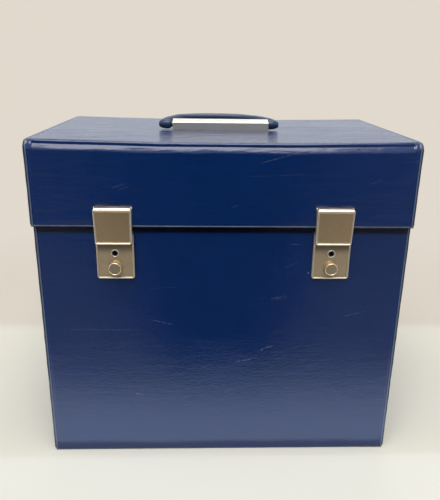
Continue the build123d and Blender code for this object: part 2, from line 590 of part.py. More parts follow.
def bulb(sx):
    """A pointed end of the grip, turned about the rod."""
    start = CHANNEL_HALF + BULB_GAP
    straight = start + BULB_STRAIGHT
    tip = start + BULB_LENGTH
    middle = (straight + tip) / 2
    swell = BULB_TIP_RADIUS + BULB_FULLNESS * (BULB_RADIUS - BULB_TIP_RADIUS)
    outline = [Line((start, 0), (start, BULB_RADIUS)), Line((start, BULB_RADIUS), (straight, BULB_RADIUS)),
               ThreePointArc((straight, BULB_RADIUS), (middle, swell), (tip, BULB_TIP_RADIUS)),
               Line((tip, BULB_TIP_RADIUS), (tip, 0)), Line((tip, 0), (start, 0))]
    turned = revolve(make_face(outline), Axis.X, 360)
    if sx < 0:
        turned = mirror(turned, Plane.YZ)
    return Pos(HANDLE_X, 0, PIVOT_Z) * turned


# ---------------------------------------------------------------- the locks
def lock_plate(x):
    """The pressed lock cover, open behind, with its key hole, button hole and the hook's notch."""
    low, high = LOCK_LOW_Z, LOCK_HIGH_Z
    outer = block(x - LATCH_HALF_WIDTH, x + LATCH_HALF_WIDTH, LOCK_FACE, BODY_FRONT, low, high)
    outer = fillet(outer.edges().filter_by(Axis.Y), LOCK_CORNER)
    outer = fillet([e for e in outer.edges() if abs(e.center().Y - LOCK_FACE) < NEAR], EDGE_SOFTEN)
    inset = LATCH_SHEET
    hollow = block(x - LATCH_HALF_WIDTH + inset, x + LATCH_HALF_WIDTH - inset, LOCK_INNER, BODY_FRONT + PAST,
                   low + inset, high - inset)
    hollow = fillet(hollow.edges().filter_by(Axis.Y), LOCK_CORNER - inset)
    border = FACE_BORDER
    recess = block(x - LATCH_HALF_WIDTH + border, x + LATCH_HALF_WIDTH - border, LOCK_FACE - PAST,
                   LOCK_FACE + FACE_RECESS, low + border, high + PAST)
    notch = block(x - HOOK_HALF_WIDTH - NOTCH_SIDE_GAP, x + HOOK_HALF_WIDTH + NOTCH_SIDE_GAP,
                  LOCK_FACE - PAST, BODY_FRONT + PAST, NOTCH_Z, high + PAST)
    button_hole = rod_y(BUTTON_BASE_RADIUS + BUTTON_HOLE_GAP, x, BUTTON_Z, LOCK_FACE - PAST, BODY_FRONT)
    key_hole = rod_y(PLUG_RADIUS + RUNNING_CLEARANCE, x, KEY_Z, LOCK_FACE - PAST, BODY_FRONT)
    dish_face = LOCK_FACE + FACE_RECESS
    dish = turned_y([(dish_face - PAST, 0), (dish_face - PAST, PLUG_RADIUS + DISH + PAST),
                     (dish_face + DISH, PLUG_RADIUS), (dish_face + DISH, 0)], x, KEY_Z)
    return outer - hollow - recess - notch - button_hole - key_hole - dish


def lock_base(x):
    """The pan that carries the lock's works: a back sheet, two side walls and a lower wall."""
    sheet = LATCH_SHEET
    back = block(x - PAN_HALF_WIDTH, x + PAN_HALF_WIDTH, PAN_FLOOR, PAN_BACK, PAN_LOW_Z, PAN_HIGH_Z)
    foot = block(x - PAN_HALF_WIDTH, x + PAN_HALF_WIDTH, LOCK_INNER, PAN_BACK, PAN_LOW_Z, PAN_LOW_Z + sheet)
    pan = back + foot
    for sx in (-1, 1):
        low, high = sorted((x + sx * PAN_HALF_WIDTH, x + sx * (PAN_HALF_WIDTH - sheet)))
        pan += block(low, high, LOCK_INNER, PAN_BACK, PAN_LOW_Z, PAN_HIGH_Z)
    return pan - stud_holes()


def lock_studs():
    """Studs from the back of the lock plates through to the backing plates, with their clenched heads."""
    studs = []
    end = LOCK_BACKING_Y + BACKING_THICK
    for x, z in stud_places():
        outline = [(LOCK_INNER, 0), (LOCK_INNER, STUD_RADIUS), (end, STUD_RADIUS), (end, STUD_HEAD_RADIUS),
                   (end + STUD_HEAD, STUD_RADIUS), (end + STUD_HEAD, 0)]
        studs.append(turned_y(outline, x, z))
    return Compound(studs)


def lock_backing_plates():
    """Steel plates inside the case, one behind each lock."""
    plates = []
    half = LATCH_HALF_WIDTH - BACKING_SIDE_MARGIN
    for side in (-1, 1):
        x = side * LATCH_HALF_SPACING
        plate = block(x - half, x + half, LOCK_BACKING_Y, LOCK_BACKING_Y + BACKING_THICK,
                      LOCK_LOW_Z + BACKING_END_MARGIN, LOCK_HIGH_Z - BACKING_END_MARGIN)
        plates.append(fillet(plate.edges().filter_by(Axis.Y), LOCK_CORNER) - stud_holes())
    return Compound([plate.solids()[0] for plate in plates])


def button(x):
    """The push button: a tapered cap, a flange behind the lock plate and a short stem in the spring."""
    face = LOCK_FACE - BUTTON_PROUD
    rear = FLANGE_Y + BUTTON_FLANGE
    stem_end = PAN_FLOOR - BUTTON_STEM_GAP - BUTTON_TRAVEL
    outline = [(face + BUTTON_RIM / 2, 0), (face + BUTTON_RIM / 2, BUTTON_FACE_RADIUS - BUTTON_RIM),
               (face, BUTTON_FACE_RADIUS - BUTTON_RIM / 2), (face + BUTTON_RIM / 2, BUTTON_FACE_RADIUS),
               (LOCK_FACE, BUTTON_BASE_RADIUS), (FLANGE_Y, BUTTON_BASE_RADIUS),
               (FLANGE_Y, BUTTON_FLANGE_RADIUS), (rear, BUTTON_FLANGE_RADIUS), (rear, BUTTON_STEM_RADIUS),
               (stem_end, BUTTON_STEM_RADIUS), (stem_end, 0)]
    return turned_y(outline, x, BUTTON_Z)


def button_spring(x):
    """Spring between the button's flange and the pan."""
    start = FLANGE_Y + BUTTON_FLANGE + BUTTON_SPRING_WIRE + SPRING_END_GAP
    length = PAN_FLOOR - BUTTON_SPRING_WIRE - SPRING_END_GAP - start
    return coil((x, start, BUTTON_Z), (0, 1, 0), BUTTON_SPRING_RADIUS, BUTTON_SPRING_WIRE, length,
                BUTTON_SPRING_TURNS)


def catch_slide(x):
    """The forked plate that the button lowers, with a joggled nose under the hook."""
    plate = block(x - SLIDE_HALF_WIDTH, x + SLIDE_HALF_WIDTH, SLIDE_FRONT, SLIDE_BACK, SLIDE_LOW_Z,
                  SLIDE_JOG_Z + SLIDE_JOG)
    plate -= block(x - SLIDE_FORK_HALF, x + SLIDE_FORK_HALF, SLIDE_FRONT - PAST, SLIDE_BACK + PAST,
                   SLIDE_LOW_Z - PAST, SLIDE_FORK_Z)
    plate -= block(x + SLIDE_FORK_HALF, x + SLIDE_HALF_WIDTH + PAST, SLIDE_FRONT - PAST, SLIDE_BACK + PAST,
                   SLIDE_LOW_Z - PAST, SLIDE_LEG_Z)
    plate += block(x - NOSE_HALF_WIDTH, x + NOSE_HALF_WIDTH, NOSE_FRONT, SLIDE_BACK, SLIDE_JOG_Z,
                   SLIDE_JOG_Z + SLIDE_JOG)
    plate += block(x - NOSE_HALF_WIDTH, x + NOSE_HALF_WIDTH, NOSE_FRONT, NOSE_FRONT + NOSE_THICK, SLIDE_JOG_Z,
                   NOSE_TOP_Z)
    return plate


def catch_spring(x):
    """Spring that lifts the slide, between the pan's lower wall and the slide's short leg."""
    y = (SLIDE_FRONT + SLIDE_BACK) / 2
    leg = (SLIDE_FORK_HALF + SLIDE_HALF_WIDTH) / 2
    start = PAN_LOW_Z + LATCH_SHEET + CATCH_SPRING_WIRE + SPRING_END_GAP
    length = SLIDE_LEG_Z - CATCH_SPRING_WIRE - SPRING_END_GAP - start
    return coil((x + leg, y, start), (0, 0, 1), CATCH_SPRING_RADIUS, CATCH_SPRING_WIRE, length,
                CATCH_SPRING_TURNS)


def key_plug(x):
    """The turning key plug with its pipe-key hole and the cam on its tail."""
    face = LOCK_FACE + FACE_RECESS + PLUG_RECESS
    rear = FLANGE_Y + PLUG_FLANGE
    tail = SLIDE_FRONT - PLUG_TAIL_GAP
    plug = turned_y([(face, 0), (face, PLUG_RADIUS), (FLANGE_Y, PLUG_RADIUS), (FLANGE_Y, PLUG_FLANGE_RADIUS),
                     (rear, PLUG_FLANGE_RADIUS), (rear, PLUG_RADIUS),
                     (tail, PLUG_RADIUS), (tail, 0)], x, KEY_Z)
    plug -= rod_y(KEYWAY_RADIUS, x, KEY_Z, face - PAST, face + KEYWAY_DEPTH)
    plug -= block(x - KEYWAY_SLOT / 2, x + KEYWAY_SLOT / 2, face - PAST, face + KEYWAY_DEPTH,
                  KEY_Z - PLUG_RADIUS + KEYWAY_WALL, KEY_Z)
    plug += rod_y(KEYWAY_POST, x, KEY_Z, face + PLUG_RECESS, face + KEYWAY_DEPTH + PLUG_RECESS)
    return plug + block(x, x + CAM_REACH, tail - CAM_THICK, tail, KEY_Z - CAM_WIDTH / 2, KEY_Z + CAM_WIDTH / 2)


# ---------------------------------------------------------------- the hasps
def hasp_face_y(z):
    """Front face of the hasp at height z."""
    share = (HASP_SHOULDER_Z - z) / (HASP_SHOULDER_Z - HASP_BOTTOM_Z)
    return LID_FRONT - HASP_PROUD + share * (HASP_PROUD - HASP_FOOT_PROUD)


def hasp_outline(inset, back, foot):
    """Side view of the hasp as (y, z) points, drawn in by inset at the face, the roof and the foot."""
    roof = HASP_PIN_Z + HASP_BARREL_RADIUS - inset
    low, shoulder = foot + inset, HASP_SHOULDER_Z - inset / 2
    return [(back, low), (hasp_face_y(low) + inset, low), (hasp_face_y(shoulder) + inset, shoulder),
            (hasp_face_y(shoulder) + inset + HASP_ROUND / 2, roof - HASP_ROOF_DROP),
            (HASP_PIN_Y, roof), (back, roof - HASP_BARREL_RADIUS / 2)]


def hasp(x):
    """The hasp: a wedge-shaped pressed shell with a closed roof, hinged at its upper back edge."""
    half = LATCH_HALF_WIDTH
    outer = prism_x(hasp_outline(0, HASP_BACK, HASP_BOTTOM_Z), x - half, x + half)
    brow = [e for e in outer.edges().filter_by(Axis.X) if e.center().Z > HASP_SHOULDER_Z - NEAR
            and e.center().Y < HASP_PIN_Y - NEAR]
    outer = fillet(brow, HASP_ROUND)
    corners = [e for e in outer.edges().filter_by(Axis.Y) if abs(e.center().Z - HASP_BOTTOM_Z) < NEAR]
    outer = fillet(corners, HASP_CORNER)
    front = outer.faces().filter_by(lambda face: face.center().Y < HASP_BACK - NEAR).sort_by(SortBy.AREA)[-1]
    outer = fillet([e for e in front.edges() if e.center().Z < HASP_SHOULDER_Z - HASP_ROUND], EDGE_SOFTEN)
    inner = prism_x(hasp_outline(LATCH_SHEET, BACK, HASP_BOTTOM_Z), x - half + LATCH_SHEET,
                    x + half - LATCH_SHEET)
    border = FACE_BORDER
    face = [(hasp_face_y(HASP_BOTTOM_Z) - FAR, HASP_BOTTOM_Z + border),
            (hasp_face_y(HASP_BOTTOM_Z + border) + FACE_RECESS, HASP_BOTTOM_Z + border),
            (hasp_face_y(HASP_SHOULDER_Z) + FACE_RECESS, HASP_SHOULDER_Z),
            (hasp_face_y(HASP_SHOULDER_Z) - FAR, HASP_SHOULDER_Z)]
    recess = prism_x(face, x - half + border, x + half - border)
    shell = outer - inner - recess
    knuckle_room = HASP_KNUCKLE_HALF + HASP_KNUCKLE_GAP
    clear_y = HASP_PIN_Y - HASP_BARREL_RADIUS - HASP_ROOF_GAP
    shell -= block(x - knuckle_room, x + knuckle_room, clear_y, BACK, HASP_PIN_Z - 2 * HASP_BARREL_RADIUS,
                   HASP_PIN_Z + 2 * HASP_BARREL_RADIUS)
    for sx in (-1, 1):
        low, high = sorted((x + sx * knuckle_room, x + sx * half))
        shell += rod_x(HASP_BARREL_RADIUS, low, high, HASP_PIN_Y, HASP_PIN_Z)
    return shell - rod_x(HASP_PIN_RADIUS + RUNNING_CLEARANCE, x - half - PAST, x + half + PAST,
                         HASP_PIN_Y, HASP_PIN_Z)


def hasp_hook(x):
    """The hook on the hasp's inner face: a stem, a tongue through the lock's notch and a lip turned down."""
    def inner_face(z):
        return hasp_face_y(z) + LATCH_SHEET

    tip = BODY_FRONT - HOOK_BACK_GAP
    top = LID_EDGE_Z + HOOK_STEM_RISE
    tongue_top = HOOK_TONGUE_Z + HOOK_TONGUE
    outline = [(inner_face(top), top), (inner_face(top) + HOOK_SHEET, top),
               (inner_face(tongue_top) + HOOK_SHEET, tongue_top), (tip, tongue_top), (tip, HOOK_LIP_Z),
               (tip - HOOK_LIP, HOOK_LIP_Z), (tip - HOOK_LIP, HOOK_TONGUE_Z),
               (inner_face(HOOK_TONGUE_Z), HOOK_TONGUE_Z)]
    return prism_x(outline, x - HOOK_HALF_WIDTH, x + HOOK_HALF_WIDTH)


def hasp_base(x):
    """The hasp's hinge plate on the lid, with its middle knuckle."""
    plate = block(x - BASE_HALF_WIDTH, x + BASE_HALF_WIDTH, LID_FRONT - BASE_THICK, LID_FRONT, BASE_LOW_Z,
                  HASP_PIN_Z - BASE_TOP_GAP - HASP_BARREL_RADIUS)
    plate += block(x - HASP_KNUCKLE_HALF, x + HASP_KNUCKLE_HALF, LID_FRONT - BASE_THICK, LID_FRONT, BASE_LOW_Z,
                   HASP_PIN_Z)
    plate += rod_x(HASP_BARREL_RADIUS, x - HASP_KNUCKLE_HALF, x + HASP_KNUCKLE_HALF, HASP_PIN_Y, HASP_PIN_Z)
    plate -= rod_x(HASP_PIN_RADIUS + RUNNING_CLEARANCE, x - FAR, x + FAR, HASP_PIN_Y, HASP_PIN_Z)
    return plate - hasp_rivet_holes()


def hasp_pins():
    """The two hinge pins, one in each hasp."""
    return Compound([rod_x(HASP_PIN_RADIUS, side * LATCH_HALF_SPACING - LATCH_HALF_WIDTH,
                           side * LATCH_HALF_SPACING + LATCH_HALF_WIDTH, HASP_PIN_Y, HASP_PIN_Z).solids()[0]
                     for side in (-1, 1)])


def hasp_rivets():
    """Rivets through the hasp bases, the lid's front and the plates inside."""
    rivets = []
    front = LID_FRONT - BASE_THICK
    end = HASP_PLATE_Y + HASP_PLATE_THICK
    for side in (-1, 1):
        for sx in (-1, 1):
            x = side * LATCH_HALF_SPACING + sx * HASP_RIVET_OFFSET
            rivets.append(turned_y([(front - HASP_RIVET_HEAD, 0), (front - HASP_RIVET_HEAD, HASP_RIVET_RADIUS),
                                    (front, HASP_RIVET_HEAD_RADIUS), (front, HASP_RIVET_RADIUS),
                                    (end, HASP_RIVET_RADIUS), (end, HASP_RIVET_HEAD_RADIUS),
                                    (end + HASP_RIVET_HEAD, HASP_RIVET_RADIUS), (end + HASP_RIVET_HEAD, 0)],
                                   x, HASP_RIVET_Z))
    return Compound(rivets)


def hasp_backing_plates():
    """Steel plates inside the lid, one behind each hasp."""
    plates = []
    for side in (-1, 1):
        x = side * LATCH_HALF_SPACING
        plate = block(x - BASE_HALF_WIDTH, x + BASE_HALF_WIDTH, HASP_PLATE_Y, HASP_PLATE_Y + HASP_PLATE_THICK,
                      HASP_RIVET_Z - HASP_PLATE_HALF_HEIGHT, HASP_RIVET_Z + HASP_PLATE_HALF_HEIGHT)
        plates.append((plate - hasp_rivet_holes()).solids()[0])
    return Compound(plates)


def build_latches():
    """Both latches, with what they share."""
    for name, side in (("left", -1), ("right", 1)):
        x = side * LATCH_HALF_SPACING
        save(f"{name}_lock_plate", lock_plate(x))
        save(f"{name}_lock_base", lock_base(x))
        save(f"{name}_button", button(x))
        save(f"{name}_button_spring", button_spring(x))
        save(f"{name}_catch_slide", catch_slide(x))
        save(f"{name}_catch_spring", catch_spring(x))
        save(f"{name}_key_plug", key_plug(x))
        save(f"{name}_hasp", hasp(x))
        save(f"{name}_hasp_hook", hasp_hook(x))
        save(f"{name}_hasp_base", hasp_base(x))
    save("lock_studs", lock_studs())
    save("lock_backing_plates", lock_backing_plates())
    save("hasp_pins", hasp_pins())
    save("hasp_rivets", hasp_rivets())
    save("hasp_backing_plates", hasp_backing_plates())


build_body()
build_lid()
build_handle()
build_latches()
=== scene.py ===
"""Looks of a vinyl-covered record carrying case with two nickel latches and a folding handle.

Metres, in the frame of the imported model: +X to the right, +Y to the hinge, +Z up.
"""

import json
import logging
import math
from dataclasses import dataclass, field
from enum import Enum

import bmesh
import bpy
import numpy as np
from mathutils import Matrix, Vector


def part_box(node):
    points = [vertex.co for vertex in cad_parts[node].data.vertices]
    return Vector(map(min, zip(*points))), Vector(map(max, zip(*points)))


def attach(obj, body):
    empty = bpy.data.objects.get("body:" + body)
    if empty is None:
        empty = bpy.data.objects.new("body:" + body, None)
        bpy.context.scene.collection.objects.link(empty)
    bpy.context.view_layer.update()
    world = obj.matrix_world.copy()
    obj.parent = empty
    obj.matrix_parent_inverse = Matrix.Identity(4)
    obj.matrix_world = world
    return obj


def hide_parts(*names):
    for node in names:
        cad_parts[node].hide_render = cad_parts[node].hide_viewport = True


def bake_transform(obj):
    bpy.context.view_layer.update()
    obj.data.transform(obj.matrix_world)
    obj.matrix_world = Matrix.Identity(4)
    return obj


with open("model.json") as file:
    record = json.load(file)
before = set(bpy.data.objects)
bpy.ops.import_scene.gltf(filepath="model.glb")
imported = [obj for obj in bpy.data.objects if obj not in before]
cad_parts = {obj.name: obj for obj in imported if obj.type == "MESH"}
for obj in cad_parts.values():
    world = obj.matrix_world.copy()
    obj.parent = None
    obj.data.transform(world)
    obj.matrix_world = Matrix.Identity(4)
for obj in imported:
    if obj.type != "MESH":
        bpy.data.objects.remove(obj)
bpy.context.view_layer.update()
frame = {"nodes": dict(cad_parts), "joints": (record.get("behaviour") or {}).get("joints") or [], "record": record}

LOG = logging.getLogger("case")
MM = 0.001
Array = np.ndarray
Socket = bpy.types.NodeSocket
Piece = bpy.types.Object


# ------------------------------------------------------------------ shapes
@dataclass(frozen=True)
class Waves:
    """A smooth seeded height field, between about -1 and 1, made of cosine waves.

    Attributes:
        seed: Start of the random draws.
        shortest: Shortest wavelength, in metres.
        longest: Longest wavelength, in metres.
        stretch: How many times longer the waves are along u than along v.
        lean: Turn of the waves' long direction, in degrees.
        count: How many waves are added up.
    """

    seed: int
    shortest: float
    longest: float
    stretch: float = 1.0
    lean: float = 0.0
    count: int = 32

    def at(self, u: Array, v: Array) -> Array:
        """Heights at the given places.

        Args:
            u: First coordinates, in metres.
            v: Second coordinates, in metres.

        Returns:
            One height for each place.
        """
        draws = np.random.default_rng(self.seed)
        turn = math.radians(self.lean)
        along = u * math.cos(turn) + v * math.sin(turn)
        across = v * math.cos(turn) - u * math.sin(turn)
        total = np.zeros(np.broadcast(u, v).shape)
        for _ in range(self.count):
            length = math.exp(draws.uniform(math.log(self.shortest), math.log(self.longest)))
            angle, phase = draws.uniform(0, 2 * math.pi, 2)
            k = 2 * math.pi / length
            total += np.cos(k * (math.cos(angle) * along / self.stretch + math.sin(angle) * across) + phase)
        return total / math.sqrt(self.count)


def smooth_step(low: float, high: float, x: Array) -> Array:
    """0 below low, 1 above high, and a smooth rise between them."""
    t = np.clip((x - low) / (high - low), 0, 1)
    return t * t * (3 - 2 * t)


def spaced(stops: list[tuple[float, float]]) -> Array:
    """Rows of numbers with a step of their own between each two stops.

    Args:
        stops: Pairs of a place and the largest step up to the next place.

    Returns:
        The places in order, each stop among them.
    """
    places = [stops[0][0]]
    for (start, step), (end, _) in zip(stops, stops[1:]):
        count = max(1, math.ceil(abs(end - start) / step - 1e-9))
        places += [start + (end - start) * k / count for k in range(1, count + 1)]
    return np.array(places)


def curve_through(points: list[tuple[float, float]], count: int) -> Array:
    """A smooth curve through points, cut into even lengths.

    Args:
        points: Two-dimensional points in order.
        count: How many points to give back.

    Returns:
        An array of count points.
    """
    p = np.array(points, float)
    p = np.vstack([2 * p[0] - p[1], p, 2 * p[-1] - p[-2]])
    t = np.linspace(0, 1, 12, endpoint=False)[:, None]
    parts = []
    for a, b, c, d in zip(p, p[1:], p[2:], p[3:]):
        parts.append(0.5 * (2 * b + (c - a) * t + (2 * a - 5 * b + 4 * c - d) * t ** 2
                            + (3 * b - a - 3 * c + d) * t ** 3))
    dense = np.vstack(parts + [p[-2:-1]])
    return even(dense, count)


def run_along(line: Array) -> Array:
    """How far each point of a line lies from the first, along the line."""
    return np.concatenate([[0], np.cumsum(np.linalg.norm(np.diff(line, axis=0), axis=1))])


def directions(line: Array) -> Array:
    """The unit direction of a line at each of its points."""
    slope = np.gradient(line, axis=0)
    return slope / np.linalg.norm(slope, axis=1, keepdims=True)


def with_x(x: Array, yz: Array) -> Array:
    """Points in space from their x and their (y, z)."""
    return np.concatenate([x[..., None], yz], -1)


def even(points: Array, count: int) -> Array:
    """The same line with count points at even distances along it."""
    length = run_along(points)
    places = np.linspace(0, length[-1], count)
    return np.stack([np.interp(places, length, points[:, k]) for k in range(points.shape[1])], 1)


def rounded_line(corners: list[tuple[float, float]], radii: list[float], step: float) -> Array:
    """A line with rounded corners in a plane.

    Args:
        corners: Ends and corners, in order.
        radii: The round of each corner between the two ends.
        step: Distance between the points given back.

    Returns:
        Points along the line.
    """
    p = [np.array(c, float) for c in corners]
    points = [p[0]]
    for before, corner, after, radius in zip(p, p[1:], p[2:], radii):
        a, b = before - corner, after - corner
        a, b = a / np.linalg.norm(a), b / np.linalg.norm(b)
        half = math.acos(np.clip(a @ b, -1, 1)) / 2
        centre = corner + (a + b) / np.linalg.norm(a + b) * radius / math.sin(half)
        start, end = corner + a * radius / math.tan(half), corner + b * radius / math.tan(half)
        one, two = start - centre, end - centre
        turn = math.acos(np.clip(one @ two / radius ** 2, -1, 1))
        for t in np.linspace(0, 1, 13):
            points.append(centre + (math.sin((1 - t) * turn) * one + math.sin(t * turn) * two) / math.sin(turn))
    points.append(p[-1])
    points = np.array(points)
    total = np.linalg.norm(np.diff(points, axis=0), axis=1).sum()
    return even(points, max(2, round(total / step) + 1))


def mesh_piece(name: str, vertices: Array, faces: list, uv: Array | None = None,
               edge: Array | None = None, sharp: float = 42.0) -> Piece:
    """Makes an object from vertices and faces.

    Args:
        name: The piece's name.
        vertices: Vertex places, in metres.
        faces: Vertex numbers of each face.
        uv: A surface coordinate in metres for each vertex.
        edge: How near a worn edge each vertex is, from 0 to 1.
        sharp: Angle in degrees over which an edge stays sharp.

    Returns:
        The new object.
    """
    mesh = bpy.data.meshes.new(name)
    mesh.from_pydata(vertices.tolist(), [], faces)
    mesh.validate()
    mesh.shade_smooth()
    mesh.set_sharp_from_angle(angle=math.radians(sharp))
    if uv is not None:
        layer = mesh.uv_layers.new(name="Surface")
        loops = np.zeros(len(mesh.loops), int)
        mesh.loops.foreach_get("vertex_index", loops)
        layer.uv.foreach_set("vector", uv[loops].astype(np.float32).ravel())
    if edge is not None:
        mesh.attributes.new("edge", "FLOAT", "POINT").data.foreach_set("value", edge.astype(np.float32))
    piece = bpy.data.objects.new(name, mesh)
    bpy.context.scene.collection.objects.link(piece)
    return piece


def skin_piece(name: str, outer: Array, inner: Array, uv: Array, edge: Array,
               keep: Array | None = None) -> Piece:
    """A closed skin between two grids of points.

    Args:
        name: The piece's name.
        outer: Grid of outer points, rows by columns by 3.
        inner: Grid of inner points of the same shape.
        uv: Surface coordinates of the grid, in metres.
        edge: Wear at each grid point.
        keep: Which cells there are, or None for all of them.

    Returns:
        The new object.
    """
    rows, columns = outer.shape[:2]
    keep = np.ones((rows - 1, columns - 1), bool) if keep is None else keep
    number = np.arange(rows * columns).reshape(rows, columns)
    a, b, c, d = number[:-1, :-1], number[:-1, 1:], number[1:, 1:], number[1:, :-1]
    top = np.stack([a, b, c, d], -1)[keep]
    below = rows * columns
    faces = [top, top[:, ::-1] + below]
    solid = np.pad(keep, 1)
    for row, column, first, second in ((-1, 0, a, b), (0, 1, b, c), (1, 0, c, d), (0, -1, d, a)):
        beside = solid[1 + row:rows + row, 1 + column:columns + column]
        rim = keep & ~beside
        faces.append(np.stack([second[rim], first[rim], first[rim] + below, second[rim] + below], -1))
    faces = np.vstack(faces)
    used, renumbered = np.unique(faces, return_inverse=True)
    vertices = np.vstack([outer.reshape(-1, 3), inner.reshape(-1, 3)])[used]
    uv, edge = np.vstack([uv.reshape(-1, 2)] * 2)[used], np.concatenate([edge.ravel()] * 2)[used]
    return mesh_piece(name, vertices, renumbered.reshape(faces.shape).tolist(), uv, edge)


def swept_piece(name: str, rings: Array, edge: Array | None = None, closed: bool = False,
                sharp: float = 42.0) -> Piece:
    """A tube through rings of points, with flat ends unless it is closed.

    Args:
        name: The piece's name.
        rings: Rings by points by 3.
        edge: Wear at each point, rings by points.
        closed: True if the last ring joins the first.
        sharp: Angle in degrees over which an edge stays sharp.

    Returns:
        The new object.
    """
    count, size = rings.shape[:2]
    number = np.arange(count * size).reshape(count, size)
    following = np.roll(number, -1, axis=0) if closed else number[1:]
    base = number if closed else number[:-1]
    quads = np.stack([base, np.roll(base, -1, 1), np.roll(following, -1, 1), following], -1).reshape(-1, 4)
    faces = quads.tolist()
    if not closed:
        faces += [number[0][::-1].tolist(), number[-1].tolist()]
    along = run_along(rings.mean(1))
    around = np.linspace(0, 1, size, endpoint=False) * np.linalg.norm(np.diff(rings[0], axis=0), axis=1).sum()
    uv = np.stack(np.broadcast_arrays(along[:, None], around[None, :]), -1).reshape(-1, 2)
    return mesh_piece(name, rings.reshape(-1, 3), faces, uv, None if edge is None else edge.ravel(), sharp)


# ------------------------------------------------------------------ shader helpers
@dataclass
class Graph:
    """Short ways to put nodes into a node tree."""

    tree: bpy.types.NodeTree

    def node(self, kind: str, inputs: dict | None = None, **settings: object) -> bpy.types.Node:
        """Adds a node.

        Args:
            kind: Blender's name of the node type, without "ShaderNode".
            inputs: Values or sockets for its inputs, by name or number.
            settings: Values of its own properties.

        Returns:
            The new node.
        """
        made = self.tree.nodes.new("ShaderNode" + kind)
        for name, value in settings.items():
            setattr(made, name, value)
        self.fill(made, inputs or {})
        return made

    def fill(self, made: bpy.types.Node, inputs: dict) -> None:
        """Gives a node's inputs their values or joins them to sockets."""
        for name, value in inputs.items():
            if isinstance(value, Socket):
                self.tree.links.new(value, made.inputs[name])
            else:
                made.inputs[name].default_value = value

    def math(self, operation: str, first: Socket | float, second: Socket | float = 0.0,
             clamp: bool = False) -> Socket:
        """One step of arithmetic; gives its result's socket."""
        return self.node("Math", {0: first, 1: second}, operation=operation, use_clamp=clamp).outputs[0]

    def times(self, first: Socket | float, second: Socket | float) -> Socket:
        """A product."""
        return self.math("MULTIPLY", first, second)

    def plus(self, first: Socket | float, second: Socket | float, clamp: bool = False) -> Socket:
        """A sum, kept between 0 and 1 if clamp is set."""
        return self.math("ADD", first, second, clamp)

    def minus(self, first: Socket | float, second: Socket | float) -> Socket:
        """A difference."""
        return self.math("SUBTRACT", first, second)

    def vector(self, operation: str, first: Socket | tuple, second: Socket | tuple = (0, 0, 0)) -> bpy.types.Node:
        """One step of vector arithmetic; gives the node."""
        return self.node("VectorMath", {0: first, 1: second}, operation=operation)

    def step(self, value: Socket, low: float | Socket, high: float | Socket) -> Socket:
        """A smooth rise from 0 to 1 between low and high."""
        return self.node("MapRange", {0: value, 1: low, 2: high, 3: 0.0, 4: 1.0},
                         interpolation_type="SMOOTHSTEP").outputs[0]

    def mix(self, share: Socket | float, first: Socket | tuple, second: Socket | tuple) -> Socket:
        """A colour between first and second."""
        return self.node("Mix", {0: share, 6: first, 7: second}, data_type="RGBA").outputs[2]

    def noise(self, place: Socket, scale: Socket | float, detail: float = 2.0, rough: float = 0.5,
              warp: float = 0.0) -> Socket:
        """A noise value between 0 and 1."""
        return self.node("TexNoise", {"Vector": place, "Scale": scale, "Detail": detail, "Roughness": rough,
                                      "Distortion": warp}).outputs["Fac"]

    def group(self, tree: bpy.types.NodeTree, inputs: dict) -> bpy.types.Node:
        """Places a shared effect."""
        made = self.tree.nodes.new("ShaderNodeGroup")
        made.node_tree = tree
        self.fill(made, inputs)
        return made

    def bump(self, height: Socket) -> Socket:
        """The surface normal over a height in millimetres."""
        return self.node("Bump", {"Strength": 1.0, "Distance": MM, "Height": height}).outputs[0]


@dataclass
class Effect:
    """A shader effect that several finishes share, kept as a node group.

    Attributes:
        name: The group's name.
        takes: Names of its inputs with a default each; a tuple makes a vector input.
        gives: Names of its outputs.
    """

    name: str
    takes: dict[str, float | tuple]
    gives: list[str]
    tree: bpy.types.NodeTree = field(init=False)

    def __post_init__(self) -> None:
        """Makes the empty group with its sockets."""
        self.tree = bpy.data.node_groups.new(self.name, "ShaderNodeTree")
        for name, value in self.takes.items():
            kind = "NodeSocketVector" if isinstance(value, tuple) else "NodeSocketFloat"
            self.tree.interface.new_socket(name, in_out="INPUT", socket_type=kind).default_value = value
        for name in self.gives:
            self.tree.interface.new_socket(name, in_out="OUTPUT", socket_type="NodeSocketFloat")
        self.graph = Graph(self.tree)
        self.inside = self.tree.nodes.new("NodeGroupInput").outputs
        self.end = self.tree.nodes.new("NodeGroupOutput")

    def give(self, **sockets: Socket) -> bpy.types.NodeTree:
        """Joins results to the group's outputs and gives the group back."""
        for name, socket in sockets.items():
            self.tree.links.new(socket, self.end.inputs[name.replace("_", " ")])
        return self.tree


